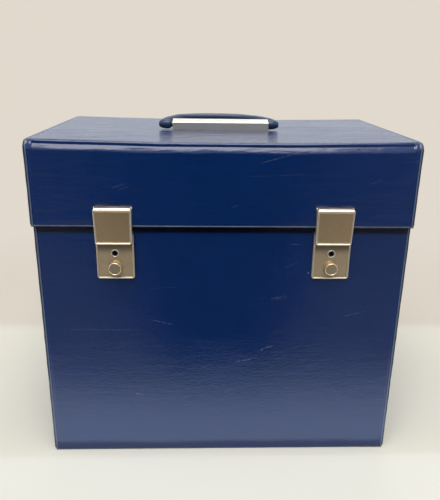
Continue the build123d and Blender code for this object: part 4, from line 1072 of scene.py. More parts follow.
@dataclass
class Seams:
    """The welded fins round the side covers of lid and body, and the flange under the lid's edge.

    Attributes:
        inset: How far a fin's middle line lies inside its CAD seam.
        flange: Depth of the flange, from front to back.
    """

    inset: float = 1.0 * MM
    flange: float = 2.6 * MM

    def lid_seam(self, side: int, material: bpy.types.Material) -> Piece:
        """The fin round one of the lid's sides."""
        name = f"lid_{side_name(side)}_seam"
        low, high = span(name)
        inset = self.inset
        corners = [(high[1] - inset, low[2] + 0.2 * MM), (high[1] - inset, high[2] - inset),
                   (low[1] + inset, high[2] - inset), (low[1] + inset, low[2] + 0.2 * MM)]
        line = rounded_line(corners, [2.2 * MM, 6.6 * MM], 0.4 * MM)
        return self.finish(name, "lid", line, side, material)

    def body_seam(self, side: int, material: bpy.types.Material) -> Piece:
        """The fin round one of the body's sides: front, bottom and back."""
        name = f"body_{side_name(side)}_seam"
        low, high = span(name)
        inset = self.inset
        corners = [(low[1] + inset, high[2]), (low[1] + inset, low[2] + inset), (high[1] - inset, low[2] + inset),
                   (high[1] - inset, high[2])]
        line = rounded_line(corners, [2.4 * MM, 2.4 * MM], 0.4 * MM)
        return self.finish(name, "body", line, side, material)

    def finish(self, name: str, body: str, line: Array, side: int, material: bpy.types.Material) -> Piece:
        """Builds, dresses and places a fin along its line.

        Args:
            name: The CAD seam that it replaces.
            body: The body that it rides on.
            line: Its middle line.
            side: -1 for the left side of the case, 1 for the right one.
            material: Its finish.

        Returns:
            The finished piece.
        """
        low, high = span(name)
        face, proud = (high[0], high[0] - low[0]) if side < 0 else (low[0], high[0] - low[0])
        rings, wear = seam_rings(line, face, proud, side)
        piece = swept_piece(name.replace("seam", "welt"), rings, edge=wear, sharp=60)
        dress(piece, material)
        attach(piece, body)
        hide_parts(name)
        return piece

    def rim_flange(self, material: bpy.types.Material) -> Piece:
        """The welded flange under the lid's front and sides."""
        low, high = span("lid_rim_seam")
        corners = [(high[0], high[1]), (high[0], low[1]), (low[0], low[1]), (low[0], high[1])]
        line = rounded_line(corners, [1.2 * MM, 1.2 * MM], 1.0 * MM)
        slope = directions(line)
        inward = np.stack([slope[:, 1], -slope[:, 0]], 1)
        tall, run = high[2] - low[2], run_along(line)
        wander = Waves(seed=41, shortest=0.02, longest=0.09).at(run, run * 0) * 0.1 * MM
        outline = [(0.25, 0.0), (0.02, 0.18), (0.0, 0.55), (0.10, 0.86), (0.34, 1.0), (1.0, 1.0), (1.0, 0.0)]
        rings = []
        for depth, up in outline:
            xy = line + inward * (depth * self.flange + wander)[:, None]
            rings.append(np.concatenate([xy, np.full((len(line), 1), low[2] + up * tall)], 1))
        # The flange's rounded top crest takes the pale colour: partly rubbing, partly a painted highlight.
        wear = np.tile([0.15, 0.2, 0.3, 0.95, 0.9, 0.1, 0.1], (len(line), 1))
        piece = swept_piece("lid_rim_flange", np.stack(rings, 1), edge=wear, sharp=50)
        dress(piece, material)
        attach(piece, "lid")
        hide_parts("lid_rim_seam")
        return piece


@dataclass
class BodyCovering:
    """The body's vinyl: a wrap over front, bottom and back, and two side covers.

    Attributes:
        skin: Thickness of the vinyl.
        corner: Radius of the lower edges.
        side_lap: How far the wrap reaches out over the side covers.
        play: Gap round the lock cases in their openings.
    """

    skin: float = 0.8 * MM
    corner: float = 1.6 * MM
    side_lap: float = 0.9 * MM
    play: float = 0.15 * MM

    def build_wrap(self, material: bpy.types.Material) -> Piece:
        """The wrap down the front, under the base and up the back, with both lock openings.

        Args:
            material: Its finish.

        Returns:
            The finished piece.
        """
        low, high = span("body_front_cover")
        back = span("body_back_cover")[1][1]
        half = high[0] + self.side_lap
        pans = [span(f"{side}_lock_base") for side in ("left", "right")]
        holes = [(a[0] - self.play, b[0] + self.play, a[2] - self.play, b[2] + self.play) for a, b in pans]
        stops = [(-half, 0.35 * MM), (-half + 3 * MM, 1.6 * MM)]
        for x0, x1, _, _ in holes:
            stops += [(x0, 1.6 * MM), (x1, 1.6 * MM)]
        x = spaced(stops + [(half - 3 * MM, 0.35 * MM), (half, 1)])
        z = spaced([(high[2], 0.4 * MM), (high[2] - 3 * MM, 1.6 * MM), (holes[0][3], 1.6 * MM),
                    (holes[0][2], 1.6 * MM), (self.corner, 1)])
        r = self.corner
        front = np.stack([np.full(len(z), low[1]), z], 1)
        turn = np.linspace(0, math.pi / 2, 8)[1:]
        toe = np.stack([low[1] + r - r * np.cos(turn), r - r * np.sin(turn)], 1)
        floor = np.stack([spaced([(low[1] + r, 3 * MM), (back - r, 1)])[1:]] * 2, 1) * [1, 0]
        heel = np.stack([back - r + r * np.sin(turn), r - r * np.cos(turn)], 1)
        rear = np.stack([np.full(90, back), np.linspace(r, high[2], 90)], 1)[1:]
        line = np.vstack([front, toe, floor, heel, rear])
        slope = directions(line)
        normal = np.stack([slope[:, 1], -slope[:, 0]], 1)
        run = run_along(line)
        u, v = np.meshgrid(x, run)
        inward, rim = half - np.abs(u), np.minimum(v, run[-1] - v)
        toe_start, heel_end = run[len(front) - 1], run[len(line) - len(rear) - 1]
        base = smooth_step(toe_start - 4 * MM, toe_start, v) * (1 - smooth_step(heel_end, heel_end + 4 * MM, v))
        swell = Waves(seed=6, shortest=0.07, longest=0.26).at(u, v) * 0.2 * MM
        crease = Waves(seed=7, shortest=0.0045, longest=0.018, stretch=6.0, lean=8, count=64).at(u, v)
        tuft = smooth_step(0.2, 1.3, Waves(seed=8, shortest=0.03, longest=0.1).at(u, v))
        valley = (-0.25 * MM * np.exp(-((inward - 2.2 * MM) / (0.7 * MM)) ** 2)
                  - 0.3 * MM * np.exp(-inward / (0.3 * MM)))
        fade = smooth_step(0.5 * MM, 5 * MM, np.minimum(inward, rim)) * (1 - base)
        height = fade * (swell + crease * tuft * 0.03 * MM) + valley * (1 - base)
        outer = with_x(u, line[:, None, :] + normal[:, None, :] * height[..., None])
        inner = with_x(u, np.broadcast_to((line - normal * self.skin)[:, None, :], (*u.shape, 2)))
        # The edge mask marks the side seams and the crests of the lower front and back edges for the pale colour:
        # partly rubbing, partly a painted highlight.
        edge = (1 - smooth_step(0.9 * MM, 1.9 * MM, inward)) * (1 - base)
        for crest in (toe_start + 0.8 * MM, heel_end - 0.8 * MM):
            edge = np.maximum(edge, 0.95 * np.exp(-((v - crest) / (0.9 * MM)) ** 2))
        middle_x, middle_z = (x[1:] + x[:-1]) / 2, (line[1:, 1] + line[:-1, 1]) / 2
        on_front = (np.arange(len(line) - 1) < len(front) - 1)
        keep = np.ones((len(line) - 1, len(x) - 1), bool)
        for x0, x1, z0, z1 in holes:
            level, across = (middle_z > z0) & (middle_z < z1) & on_front, (middle_x > x0) & (middle_x < x1)
            keep &= ~(level[:, None] & across)
        uv = np.stack([u, high[2] - v], -1)
        piece = skin_piece("body_vinyl", outer[::-1], inner[::-1], uv[::-1], edge[::-1], keep[::-1])
        dress(piece, material)
        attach(piece, "body")
        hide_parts("body_front_cover", "body_bottom_cover", "body_back_cover")
        return piece

    def side_cover(self, side: int, material: bpy.types.Material) -> Piece:
        """One side cover.

        Args:
            side: -1 for the left cover, 1 for the right one.
            material: Its finish.

        Returns:
            The finished piece.
        """
        name = f"body_{side_name(side)}_cover"
        low, high = span(name)
        y = spaced([(low[1], 0.5 * MM), (low[1] + 4 * MM, 1.8 * MM), (high[1] - 4 * MM, 0.5 * MM), (high[1], 1)])
        z = spaced([(low[2] + 0.1 * MM, 0.5 * MM), (low[2] + 4 * MM, 1.8 * MM), (high[2], 1)])
        y, z = np.meshgrid(y, z)
        border = np.minimum.reduce([y - low[1], high[1] - y, z - low[2], high[2] + 4 * MM - z])
        swell = Waves(seed=51 + side, shortest=0.06, longest=0.22).at(y, z) * 0.22 * MM
        piece = side_skin(name, side, self.skin, y, z, border, swell, seed=55)
        dress(piece, material)
        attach(piece, "body")
        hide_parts(name)
        return piece


@dataclass
class HingeStrip:
    """The vinyl strip on the back that is the lid's hinge.

    Attributes:
        bend: How far above and below the hinge line it bends; not used.
    """

    bend: float = 2.6 * MM

    def build(self, material: bpy.types.Material) -> Piece:
        """Builds the strip, with a shallow fold pressed in along the hinge line.

        Args:
            material: Its finish.

        Returns:
            The finished piece.
        """
        low, high = span("hinge_strip")
        joint = joint_named("lid_hinge")
        line = joint["pos_m"][2]
        x = spaced([(low[0], 0.6 * MM), (low[0] + 4 * MM, 3 * MM), (high[0] - 4 * MM, 0.6 * MM), (high[0], 1)])
        z = spaced([(low[2], 0.5 * MM), (high[2], 1)])
        u, v = np.meshgrid(x, z)
        border = np.minimum.reduce([u - low[0], high[0] - u, v - low[2], high[2] - v])
        thick = (high[1] - low[1]) * (0.62 + 0.38 * smooth_step(0.0, 1.4 * MM, border))
        fold = -0.18 * MM * np.exp(-((v - line) / (0.9 * MM)) ** 2)
        weld = -0.14 * MM * np.exp(-((border - 2.4 * MM) / (0.5 * MM)) ** 2)
        ripple = Waves(seed=61, shortest=0.01, longest=0.05, stretch=3).at(u, v) * 0.02 * MM
        outer = np.stack([u, low[1] + thick + fold + weld + ripple, v], -1)
        inner = np.stack([u, np.full_like(u, low[1] + 0.02 * MM), v], -1)
        edge = np.exp(-border / (0.5 * MM)) * 0.8
        piece = skin_piece("hinge_vinyl", outer[:, ::-1], inner[:, ::-1], np.stack([u, v], -1)[:, ::-1],
                           edge[:, ::-1])
        dress(piece, material)
        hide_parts("hinge_strip")
        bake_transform(piece)
        return piece


# ------------------------------------------------------------------ the handle
def fuller(t: Array) -> Array:
    """A sine or cosine drawn outward, for a section between round and square."""
    return np.sign(t) * np.abs(t) ** 0.82


@dataclass
class Grip:
    """The moulded grip: a bow between two pointed bulbs, with a shallow recess along its top.

    Attributes:
        tilt: How far the bow stands above level, in radians.
        half_width: Half the bow's width.
        half_thick: Half the bow's thickness.
        voxel: Grain of the weld between bow and bulbs.
        bow: The bow's middle line in its own plane, in millimetres: along the case, and away from the rod.
        left_bulb: Places along the rod and radii of the left bulb.
        right_bulb: The same for the right bulb.
        recess: Ends of the recess along the bow, its half width and its depth, in millimetres.
    """

    tilt: float = math.radians(6)
    half_width: float = 4.4 * MM
    half_thick: float = 4.6 * MM
    voxel: float = 0.45 * MM
    bow: tuple[tuple[float, float], ...] = (
        (-61.6, -0.5), (-61.0, 4.5), (-57.8, 12.0), (-52.3, 20.3), (-43.2, 29.8), (-28.0, 34.7), (-8.5, 36.6),
        (15.0, 34.9), (28.6, 30.2), (41.5, 21.5), (49.6, 13.0), (53.9, 6.5), (55.2, -0.5))
    left_bulb: tuple[tuple[float, float], ...] = (
        (-51.9, 3.3), (-53.6, 3.3), (-54.0, 4.5), (-56.5, 4.9), (-60.0, 4.75), (-63.0, 3.95), (-65.2, 3.0),
        (-66.0, 2.2))
    right_bulb: tuple[tuple[float, float], ...] = (
        (49.1, 4.5), (49.5, 4.8), (52.0, 4.9), (54.5, 4.6), (57.0, 3.9), (59.0, 3.0), (59.8, 2.2))
    recess: tuple[float, float, float, float] = (-43.0, 34.0, 2.4, 0.45)

    def __post_init__(self) -> None:
        """Finds the rod's axis and the bow's plane."""
        joint = joint_named("handle_hinge")
        self.axis = np.array([0.0, joint["pos_m"][1], joint["pos_m"][2]])
        self.away = np.array([0, math.cos(self.tilt), math.sin(self.tilt)])
        self.above = np.array([0, -math.sin(self.tilt), math.cos(self.tilt)])
        self.line = curve_through(list(self.bow), 240) * MM

    def bow_rings(self) -> Array:
        """Rings of the bow, a little slimmer where it joins the bulbs."""
        slope = directions(self.line)
        turn = np.linspace(0, 2 * math.pi, 28, endpoint=False)
        slim = 0.78 + 0.22 * smooth_step(4 * MM, 14 * MM, self.line[:, 1])
        wide, tall = self.half_width * slim, self.half_thick * (0.9 + 0.1 * slim)
        across = np.stack([-slope[:, 1], slope[:, 0]], 1)
        flat = self.line[:, None, :] + across[:, None, :] * (wide[:, None] * fuller(np.cos(turn)))[..., None]
        lift = tall[:, None] * fuller(np.sin(turn))
        return self.axis + flat[..., :1] * [1, 0, 0] + flat[..., 1:] * self.away + lift[..., None] * self.above

    def bulb_rings(self, profile: tuple[tuple[float, float], ...]) -> Array:
        """Rings of one bulb, from its places along the rod and its radii."""
        line = curve_through(list(profile), 40) * MM
        turn = np.linspace(0, 2 * math.pi, 40, endpoint=False)
        ring = np.stack([np.zeros(40), np.cos(turn), np.sin(turn)], 1)
        return self.axis + line[:, None, :1] * [1, 0, 0] + line[:, None, 1:] * ring

    def build(self, material: bpy.types.Material) -> Piece:
        """Welds bow and bulbs into one skin, smooths it and presses the recess in.

        Args:
            material: Its finish.

        Returns:
            The finished piece.
        """
        vertices, faces = [], []
        for rings in (self.bow_rings(), self.bulb_rings(self.left_bulb), self.bulb_rings(self.right_bulb)):
            part = swept_piece("blank", rings)
            start = sum(len(v) for v in vertices)
            faces += [[start + i for i in p.vertices] for p in part.data.polygons]
            vertices.append(np.array([v.co for v in part.data.vertices]))
            bpy.data.objects.remove(part)
        blank = mesh_piece("blank", np.vstack(vertices), faces)
        with_normals = bmesh.new()
        with_normals.from_mesh(blank.data)
        bmesh.ops.recalc_face_normals(with_normals, faces=with_normals.faces)
        with_normals.to_mesh(blank.data)
        with_normals.free()
        blank.modifiers.new("weld", "REMESH").voxel_size = self.voxel
        smooth = blank.modifiers.new("smooth", "SMOOTH")
        smooth.factor, smooth.iterations = 0.5, 5
        mesh = bpy.data.meshes.new_from_object(blank.evaluated_get(bpy.context.evaluated_depsgraph_get()))
        bpy.data.objects.remove(blank)
        points = np.array([v.co for v in mesh.vertices])
        local = points - self.axis
        flat = np.stack([local[:, 0], local @ self.away], 1)
        start, end, half, depth = (v * MM for v in self.recess)
        inside = (self.line[:, 0] > start) & (self.line[:, 0] < end)
        gap = np.full(len(points), 1.0)
        for spot in self.line[inside]:
            gap = np.minimum(gap, np.linalg.norm(flat - spot, axis=1))
        top = smooth_step(0.5 * MM, 2.0 * MM, local @ self.above)
        pressed = (1 - smooth_step(half - 0.3 * MM, half + 0.3 * MM, gap)) * top
        points = points - (pressed * depth)[:, None] * self.above
        mesh.vertices.foreach_set("co", points.astype(np.float32).ravel())
        lip = np.exp(-((gap - half - 0.4 * MM) / (0.5 * MM)) ** 2) * top
        mesh.attributes.new("edge", "FLOAT", "POINT").data.foreach_set(
            "value", np.clip(0.62 * pressed + 0.8 * lip, 0, 1).astype(np.float32))
        mesh.update()
        mesh.shade_smooth()
        piece = bpy.data.objects.new("grip_moulding", mesh)
        bpy.context.scene.collection.objects.link(piece)
        dress(piece, material)
        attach(piece, "handle")
        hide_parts("handle_grip")
        return piece


# ------------------------------------------------------------------ the latches
@dataclass
class Hasp:
    """A pressed hasp cover: a slanted face with a raised border and a rolled foot, a roof, and a barrel on the pin.

    Attributes:
        side: -1 for the left hasp, 1 for the right one.
        taper: How much narrower each side is at the foot.
        border: Width of the raised border.
        raised: How far it stands above the face.
        bead: Round of the outer edges.
        corner: Round of the lower corners.
        sheet: Thickness of the sheet.
        back: y of its side walls' back edges.
        askew: How far the foot lies outward of the barrel.
        lean: How far the foot lies behind the top of the face.
        face_top: How far below its top the slanted face starts.
        face_height: Height over which it leans.
        knuckle: Half the width of the base's knuckle, over which roof and barrel are open.
        barrel_mm: Radius of the barrel, in millimetres.
    """

    side: int
    taper: float = 0.5 * MM
    border: float = 1.45 * MM
    raised: float = 0.42 * MM
    bead: float = 0.95 * MM
    corner: float = 1.9 * MM
    sheet: float = 0.8 * MM
    back: float = -106.4 * MM
    askew: float = 0.45 * MM
    lean: float = 3.8 * MM
    face_top: float = 2.7 * MM
    face_height: float = 32.9 * MM
    knuckle: float = 6.3 * MM
    barrel_mm: float = 1.3

    def __post_init__(self) -> None:
        """Reads its place from the model."""
        self.body = f"{side_name(self.side)}_hasp"
        self.low, self.high = span(self.body)
        joint = joint_named(f"{self.body}_hinge")
        self.pin = np.array(joint["pos_m"][1:])
        self.middle = joint["pos_m"][0]

    def face(self, z: float) -> float:
        """y of the slanted face at a height."""
        return self.low[1] + self.lean * (self.high[2] - self.face_top - z) / self.face_height

    def section(self) -> tuple[Array, Array]:
        """The side view, drawn in millimetres.

        Returns:
            Points (y, z) from the rolled foot up and over, in metres, and a 1 for each that is on the barrel.
        """
        y0 = self.face(self.low[2]) / MM
        f, z0, top = self.low[1] / MM, self.low[2] / MM, self.high[2] / MM
        foot_line = [(y0 + 2.6, z0 + 1.4), (y0 + 2.0, z0 + 0.5), (y0 + 1.2, z0 + 0.05), (y0 + 0.45, z0 + 0.1),
                     (y0 - 0.1, z0 + 0.5), (y0 - 0.3, z0 + 1.1), (y0 - 0.2, z0 + 1.7), (y0 - 0.05, z0 + 2.2)]
        rise = [(self.face((z0 + h) * MM) / MM, z0 + h) for h in np.linspace(2.9, 31.4, 30)]
        bend = [(f + 0.03, top - 3.5), (f + 0.0, top - 2.9), (f + 0.06, top - 2.3), (f + 0.28, top - 1.72),
                (f + 0.68, top - 1.15), (f + 1.2, top - 0.68), (f + 1.9, top - 0.36)]
        roof = [(f + 3.2, top - 0.2), (f + 4.6, top - 0.12), (f + 5.7, top - 0.04)]
        line = curve_through(foot_line + rise + bend + roof, 150)
        turn = np.radians(np.linspace(84, -150, 14))
        barrel = self.pin / MM + self.barrel_mm * np.stack([np.cos(turn), np.sin(turn)], 1)
        part = np.concatenate([np.zeros(len(line)), np.ones(len(barrel))])
        return np.vstack([line, barrel]) * MM, part

    def build(self, material: bpy.types.Material) -> Piece:
        """Builds, dresses and places the cover.

        Args:
            material: Its finish.

        Returns:
            The finished piece.
        """
        line, barrel = self.section()
        foot, top = self.low[2], self.high[2]
        slope = directions(line)
        inward = np.stack([slope[:, 1], -slope[:, 0]], 1)
        height = line[:, 1] - foot
        low_share = np.clip(1 - height / (30 * MM), 0, 1)
        near_foot = np.clip(self.corner - height, 0, self.corner)
        rounding = self.corner - np.sqrt(self.corner ** 2 - near_foot ** 2)
        drawn_in = 0.63 * MM * smooth_step(top - 2.6 * MM, top - 0.4 * MM, line[:, 1]) * (barrel < 1)
        half = (self.high[0] - self.low[0]) / 2 - self.taper * low_share - rounding - drawn_in
        reach = spaced([(0.0, 0.09), (0.9, 0.16), (2.2, 1.1), (15.0, 1)]) * MM
        left = [(-1, 0.0, wall) for wall in (1.0, 0.66, 0.33)] + [(-1, e, 0.0) for e in reach]
        columns = left + [(1, e, wall) for _, e, wall in reversed(left)]
        back = np.stack([np.full(len(line), self.back), np.minimum(line[:, 1], top - 3.0 * MM)], 1)
        outer, inner, wear, flat = [], [], [], []
        thick = np.where(barrel > 0, 0.42 * MM, self.sheet)[:, None]
        middle = self.middle + self.side * self.askew * low_share
        at_top = smooth_step(top - 3.7 * MM, top - 2.9 * MM, line[:, 1])
        on_face = smooth_step(1.0 * MM, 2.2 * MM, height) * (1 - at_top)
        # The rolled bend and foot are marked for the paler colour: partly rubbed plating, partly a painted highlight
        # along the bend.
        rolled_wear_and_highlight = np.maximum(smooth_step(top - 3.3 * MM, top - 2.3 * MM, line[:, 1]),
                            1 - smooth_step(1.3 * MM, 2.3 * MM, height))
        for sign, e, wall in columns:
            bead = self.bead - math.sqrt(max(0.0, self.bead ** 2 - max(0.0, self.bead - e) ** 2))
            press = self.raised * smooth_step(self.border - 0.25 * MM, self.border + 0.3 * MM, e) * on_face
            depth = (bead * (1 - barrel) + press)[:, None]
            point = line + inward * depth
            x = middle + sign * (half - e * half / half.max())
            if wall:
                x = middle + sign * half
                share = wall * (1 - barrel)[:, None]
                point = line + inward * self.bead * (1 - barrel)[:, None]
                point = point * (1 - share) + back * share
            outer.append(with_x(x, point))
            inner_point = line + inward * (thick + (press * 0.6)[:, None])
            if wall:
                inner_point = inner_point * (1 - share) + back * share
            x_in = middle + sign * np.minimum(half - self.sheet * (1 - barrel), half - e * half / half.max())
            inner.append(with_x(x_in, inner_point))
            # The side edges, bend and foot take the paler colour: partly rubbed plating, partly a painted highlight.
            wear.append(np.maximum(rolled_wear_and_highlight, math.exp(-(e / (1.1 * MM)) ** 2)) * (1 - barrel))
            flat.append(np.stack([x, line[:, 1]], 1))
        outer, inner = np.stack(outer, 1), np.stack(inner, 1)
        keep = np.ones((len(line) - 1, len(columns) - 1), bool)
        centre_x = np.abs((outer[:-1, 1:, 0] + outer[:-1, :-1, 0]) / 2 - self.middle)
        open_roof = (line[:-1, 0] > self.pin[0] - 1.6 * MM) & (line[:-1, 1] > top - 3.4 * MM)
        keep &= ~(open_roof[:, None] & (centre_x < self.knuckle))
        barrel_rows = barrel[:-1] > 0
        keep[barrel_rows, :3] = keep[barrel_rows, -3:] = False
        piece = skin_piece(f"{self.body}_cover", outer, inner, np.stack(flat, 1), np.stack(wear, 1), keep)
        dress(piece, material)
        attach(piece, self.body)
        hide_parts(self.body)
        return piece


@dataclass
class LockFace:
    """The raised rim of a lock plate and the ring round its key plug.

    Attributes:
        side: -1 for the left lock, 1 for the right one.
        corner: Round of the plate's corners.
        rim: Width of the rim.
        wider: How far the rim passes the plate's right edge.
        ring: Radius of the key ring's middle line.
    """

    side: int
    corner: float = 2.4 * MM
    rim: float = 1.5 * MM
    wider: float = 0.45 * MM
    ring: float = 3.32 * MM

    def build_rim(self, material: bpy.types.Material) -> Piece:
        """A half-round rim down both sides and along the foot, lower where the hasp covers it."""
        name = f"{side_name(self.side)}_lock_plate"
        low, high = span(name)
        inset = self.rim / 2
        right = high[0] - inset + self.wider
        corners = [(right, high[2] - 3 * MM), (right, low[2] + inset),
                   (low[0] + inset, low[2] + inset), (low[0] + inset, high[2] - 3 * MM)]
        line = rounded_line(corners, [self.corner - inset] * 2, 0.45 * MM)
        slope = directions(line)
        across = np.stack([-slope[:, 1], slope[:, 0]], 1)
        hidden = smooth_step(0.0, 2.2 * MM, line[:, 1] - (span("left_hasp")[0][2] - 3.2 * MM))
        tall = 0.75 * MM - 0.45 * MM * hidden
        rings = []
        for turn in np.linspace(0, math.pi, 11):
            place = line + across * (math.cos(turn) * self.rim / 2)
            rings.append(np.stack([place[:, 0], low[1] + 0.12 * MM - tall * math.sin(turn) ** 0.8, place[:, 1]], 1))
        wear = np.full((len(line), len(rings)), 0.6)
        piece = swept_piece(name.replace("plate", "rim"), np.stack(rings, 1)[:, ::-1], edge=wear)
        dress(piece, material)
        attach(piece, "body")
        return piece

    def build_ring(self, material: bpy.types.Material) -> Piece:
        """The rounded ring round the key plug."""
        name = side_name(self.side)
        x, face, z = joint_named(f"{name}_key_turn")["pos_m"]
        a = np.linspace(0, 2 * math.pi, 48, endpoint=False)[:, None]
        t = np.linspace(0, 2 * math.pi, 14, endpoint=False)[None, :]
        radius = self.ring + 0.5 * MM * np.cos(t)
        depth = face + (0.1 - 0.42 * np.sin(t)) * MM
        rings = np.stack([x + radius * np.cos(a), depth + 0 * a, z + radius * np.sin(a)], -1)
        piece = swept_piece(f"{name}_key_ring", rings, closed=True)
        dress(piece, material)
        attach(piece, "body")
        return piece


# ------------------------------------------------------------------ the studio
@dataclass(frozen=True)
class Studio:
    """Pale floor, soft lamps, and the camera.

    Attributes:
        eye: Where the camera stands.
        yaw: How far it looks to the right, in radians.
        pitch: How far it looks down.
        roll: How far it is turned about its own axis.
        focal_px: Its focal length, in pixels of the picture.
        long_side_px: The picture's longer side, in pixels.
        wall: Colour of the wall behind.
        room: Colour of the room in reflections.
        table: Colour of the floor.
        room_front: Colour of the room's dark front in reflections.
        even_light: Colour of the world's even light.
        ambient: Strength of that light.
        lamp_colour: Colour of every lamp.
        card_near: What reflections see of the floor close to the case.
        card_middle: The same straight ahead, further out.
        card_aside: The same to both sides, close by and further out.
    """

    eye: tuple[float, float, float] = (-0.020017, -0.588553, 0.390415)
    yaw: float = 0.0338800
    pitch: float = 0.3281705
    roll: float = 0.0142927
    focal_px: float = 547.092
    long_side_px: float = 500.0
    wall: tuple[float, float, float] = (0.753, 0.694, 0.610)
    room: tuple[float, float, float] = (0.76, 0.79, 0.84)
    table: tuple[float, float, float] = (0.838, 0.823, 0.730)
    room_front: tuple[float, float, float] = (0.008, 0.007, 0.006)
    even_light: tuple[float, float, float] = (1.0, 0.98, 0.94)
    ambient: float = 0.17
    lamp_colour: tuple[float, float, float] = (1.0, 0.985, 0.96)
    card_near: tuple[float, float, float] = (1.5, 1.72, 2.1)
    card_middle: tuple[float, float, float] = (0.004, 0.004, 0.004)
    card_aside: tuple[tuple[float, float, float], ...] = ((0.30, 0.285, 0.265), (0.165, 0.178, 0.195))

    def camera(self) -> None:
        """Makes the camera."""
        data = bpy.data.cameras.new("camera")
        data.sensor_fit = "AUTO"
        data.sensor_width = 36.0
        data.lens = self.focal_px / self.long_side_px * data.sensor_width
        data.clip_start, data.clip_end = 0.01, 30.0
        camera = bpy.data.objects.new("camera", data)
        bpy.context.scene.collection.objects.link(camera)
        cy, sy, cp, sp = math.cos(self.yaw), math.sin(self.yaw), math.cos(self.pitch), math.sin(self.pitch)
        forward = Vector((sy * cp, cy * cp, -sp))
        right = Vector((cy, -sy, 0))
        up = right.cross(forward)
        right, up = (math.cos(self.roll) * right + math.sin(self.roll) * up,
                     math.cos(self.roll) * up - math.sin(self.roll) * right)
        turn = Matrix((right, up, -forward)).transposed()
        camera.matrix_world = Matrix.Translation(self.eye) @ turn.to_4x4()
        bpy.context.scene.camera = camera

    def lamp(self, name: str, place: tuple, aim: tuple, size: tuple[float, float], power: float) -> None:
        """Adds a soft lamp.

        Args:
            name: Its name.
            place: Where it hangs.
            aim: What it points at.
            size: Its width and height.
            power: Its power in watts.
        """
        data = bpy.data.lights.new(name, "AREA")
        data.shape, data.size, data.size_y = "RECTANGLE", *size
        data.energy, data.color = power, self.lamp_colour
        lamp = bpy.data.objects.new(name, data)
        lamp.location = place
        lamp.rotation_mode = "QUATERNION"
        lamp.rotation_quaternion = (Vector(aim) - Vector(place)).to_track_quat("-Z", "Y")
        bpy.context.scene.collection.objects.link(lamp)

    def plane(self, name: str, corners: list[tuple[float, float, float]]) -> Piece:
        """A flat sheet of the stage."""
        piece = mesh_piece(name, np.array(corners, float), [list(range(len(corners)))])
        return piece

    def show(self, material: bpy.types.Material, surface: Socket) -> None:
        """Makes another shader the surface of a stage material."""
        tree = material.node_tree
        out = next(n for n in tree.nodes if n.bl_idname == "ShaderNodeOutputMaterial")
        tree.links.new(surface, out.inputs["Surface"])

    def sky(self) -> None:
        """The world: a pale wall to the eye, a soft even light, and a room with a dark front in reflections."""
        world = bpy.data.worlds.new("studio")
        bpy.context.scene.world = world
        world.use_nodes = True
        g = Graph(world.node_tree)
        world.node_tree.nodes.clear()
        path = g.node("LightPath").outputs
        way = g.node("SeparateXYZ", {0: g.node("TexCoord").outputs["Generated"]}).outputs
        facing = g.step(way[1], 0.0, -0.45)
        low = g.step(way[2], 0.34, 0.04)
        middle = g.step(g.math("ABSOLUTE", way[0]), 0.75, 0.12)
        dark = g.times(g.times(facing, low), middle)
        room = g.mix(dark, (*self.room, 1), (*self.room_front, 1))
        glossy = g.math("MAXIMUM", path["Is Glossy Ray"], path["Is Transmission Ray"])
        colour = g.mix(glossy, (*[c * self.ambient for c in self.even_light], 1), room)
        colour = g.mix(path["Is Camera Ray"], colour, (*self.wall, 1))
        g.node("OutputWorld", {"Surface": g.node("Background", {"Color": colour}).outputs[0]})

    def floor(self) -> None:
        """The floor, lit near the case so that it keeps the shadow, and plain further out."""
        floor = self.plane("floor", [(-6, -6, 0), (6, -6, 0), (6, 6, 0), (-6, 6, 0)])
        material, g, shader = new_material("pale floor")
        place = g.node("TexCoord").outputs["Object"]
        beyond = g.step(g.node("SeparateXYZ", {0: place}).outputs[1], 0.17, 0.205)
        seen = g.mix(beyond, (*self.table, 1), (*self.wall, 1))
        join(g, shader, Base_Color=seen)
        shader.inputs["Roughness"].default_value = 0.7
        plain = g.node("Emission", {"Color": seen}).outputs[0]
        far = g.step(g.vector("LENGTH", place).outputs["Value"], 0.30, 0.85)
        share = g.times(far, g.node("LightPath").outputs["Is Camera Ray"])
        self.show(material, g.node("MixShader", {0: share, 1: shader.outputs[0], 2: plain}).outputs[0])
        floor.data.materials.append(material)

    def card(self) -> None:
        """What the front's gloss sees of the floor: bright close by, dark further out, and lighter to both sides."""
        card = self.plane("dark_card", [(-5, -6, 0.002), (5, -6, 0.002), (5, -0.112, 0.002), (-5, -0.112, 0.002)])
        material, g, shader = new_material("dark card")
        place = g.node("SeparateXYZ", {0: g.node("TexCoord").outputs["Object"]}).outputs
        close = g.math("POWER", g.step(place[1], -0.34, -0.13), 1.2)
        aside = g.math("DIVIDE", g.math("ABSOLUTE", place[0]), g.times(place[1], -1.0))
        by_case, further = self.card_aside
        side = g.mix(g.step(place[1], -1.3, -0.45), (*further, 1), (*by_case, 1))
        colour = g.mix(g.step(aside, 0.13, 0.50), (*self.card_middle, 1), side)
        colour = g.mix(close, colour, (*self.card_near, 1))
        self.show(material, g.node("Emission", {"Color": colour}).outputs[0])
        card.data.materials.append(material)
        card.visible_camera = card.visible_diffuse = card.visible_shadow = False
        card.visible_transmission = False

    def light(self) -> None:
        """The lamps: one large soft lamp overhead, and weak ones from behind and from both sides."""
        self.lamp("overhead", (-0.1, -0.90, 2.20), (0, 0, 0.15), (1.5, 1.9), 46)
        self.lamp("behind", (0.2, 1.2, 1.9), (0, 0, 0.2), (1.2, 0.8), 6)
        self.lamp("left", (-1.7, 0.1, 1.2), (0, 0, 0.15), (0.9, 0.9), 4)
        self.lamp("right", (1.7, 0.1, 1.2), (0, 0, 0.15), (0.9, 0.9), 4)

    def build(self) -> None:
        """Everything that isn't the object."""
        self.camera()
        self.sky()
        self.floor()
        self.card()
        self.light()
        bpy.context.scene.view_settings.view_transform = "Standard"


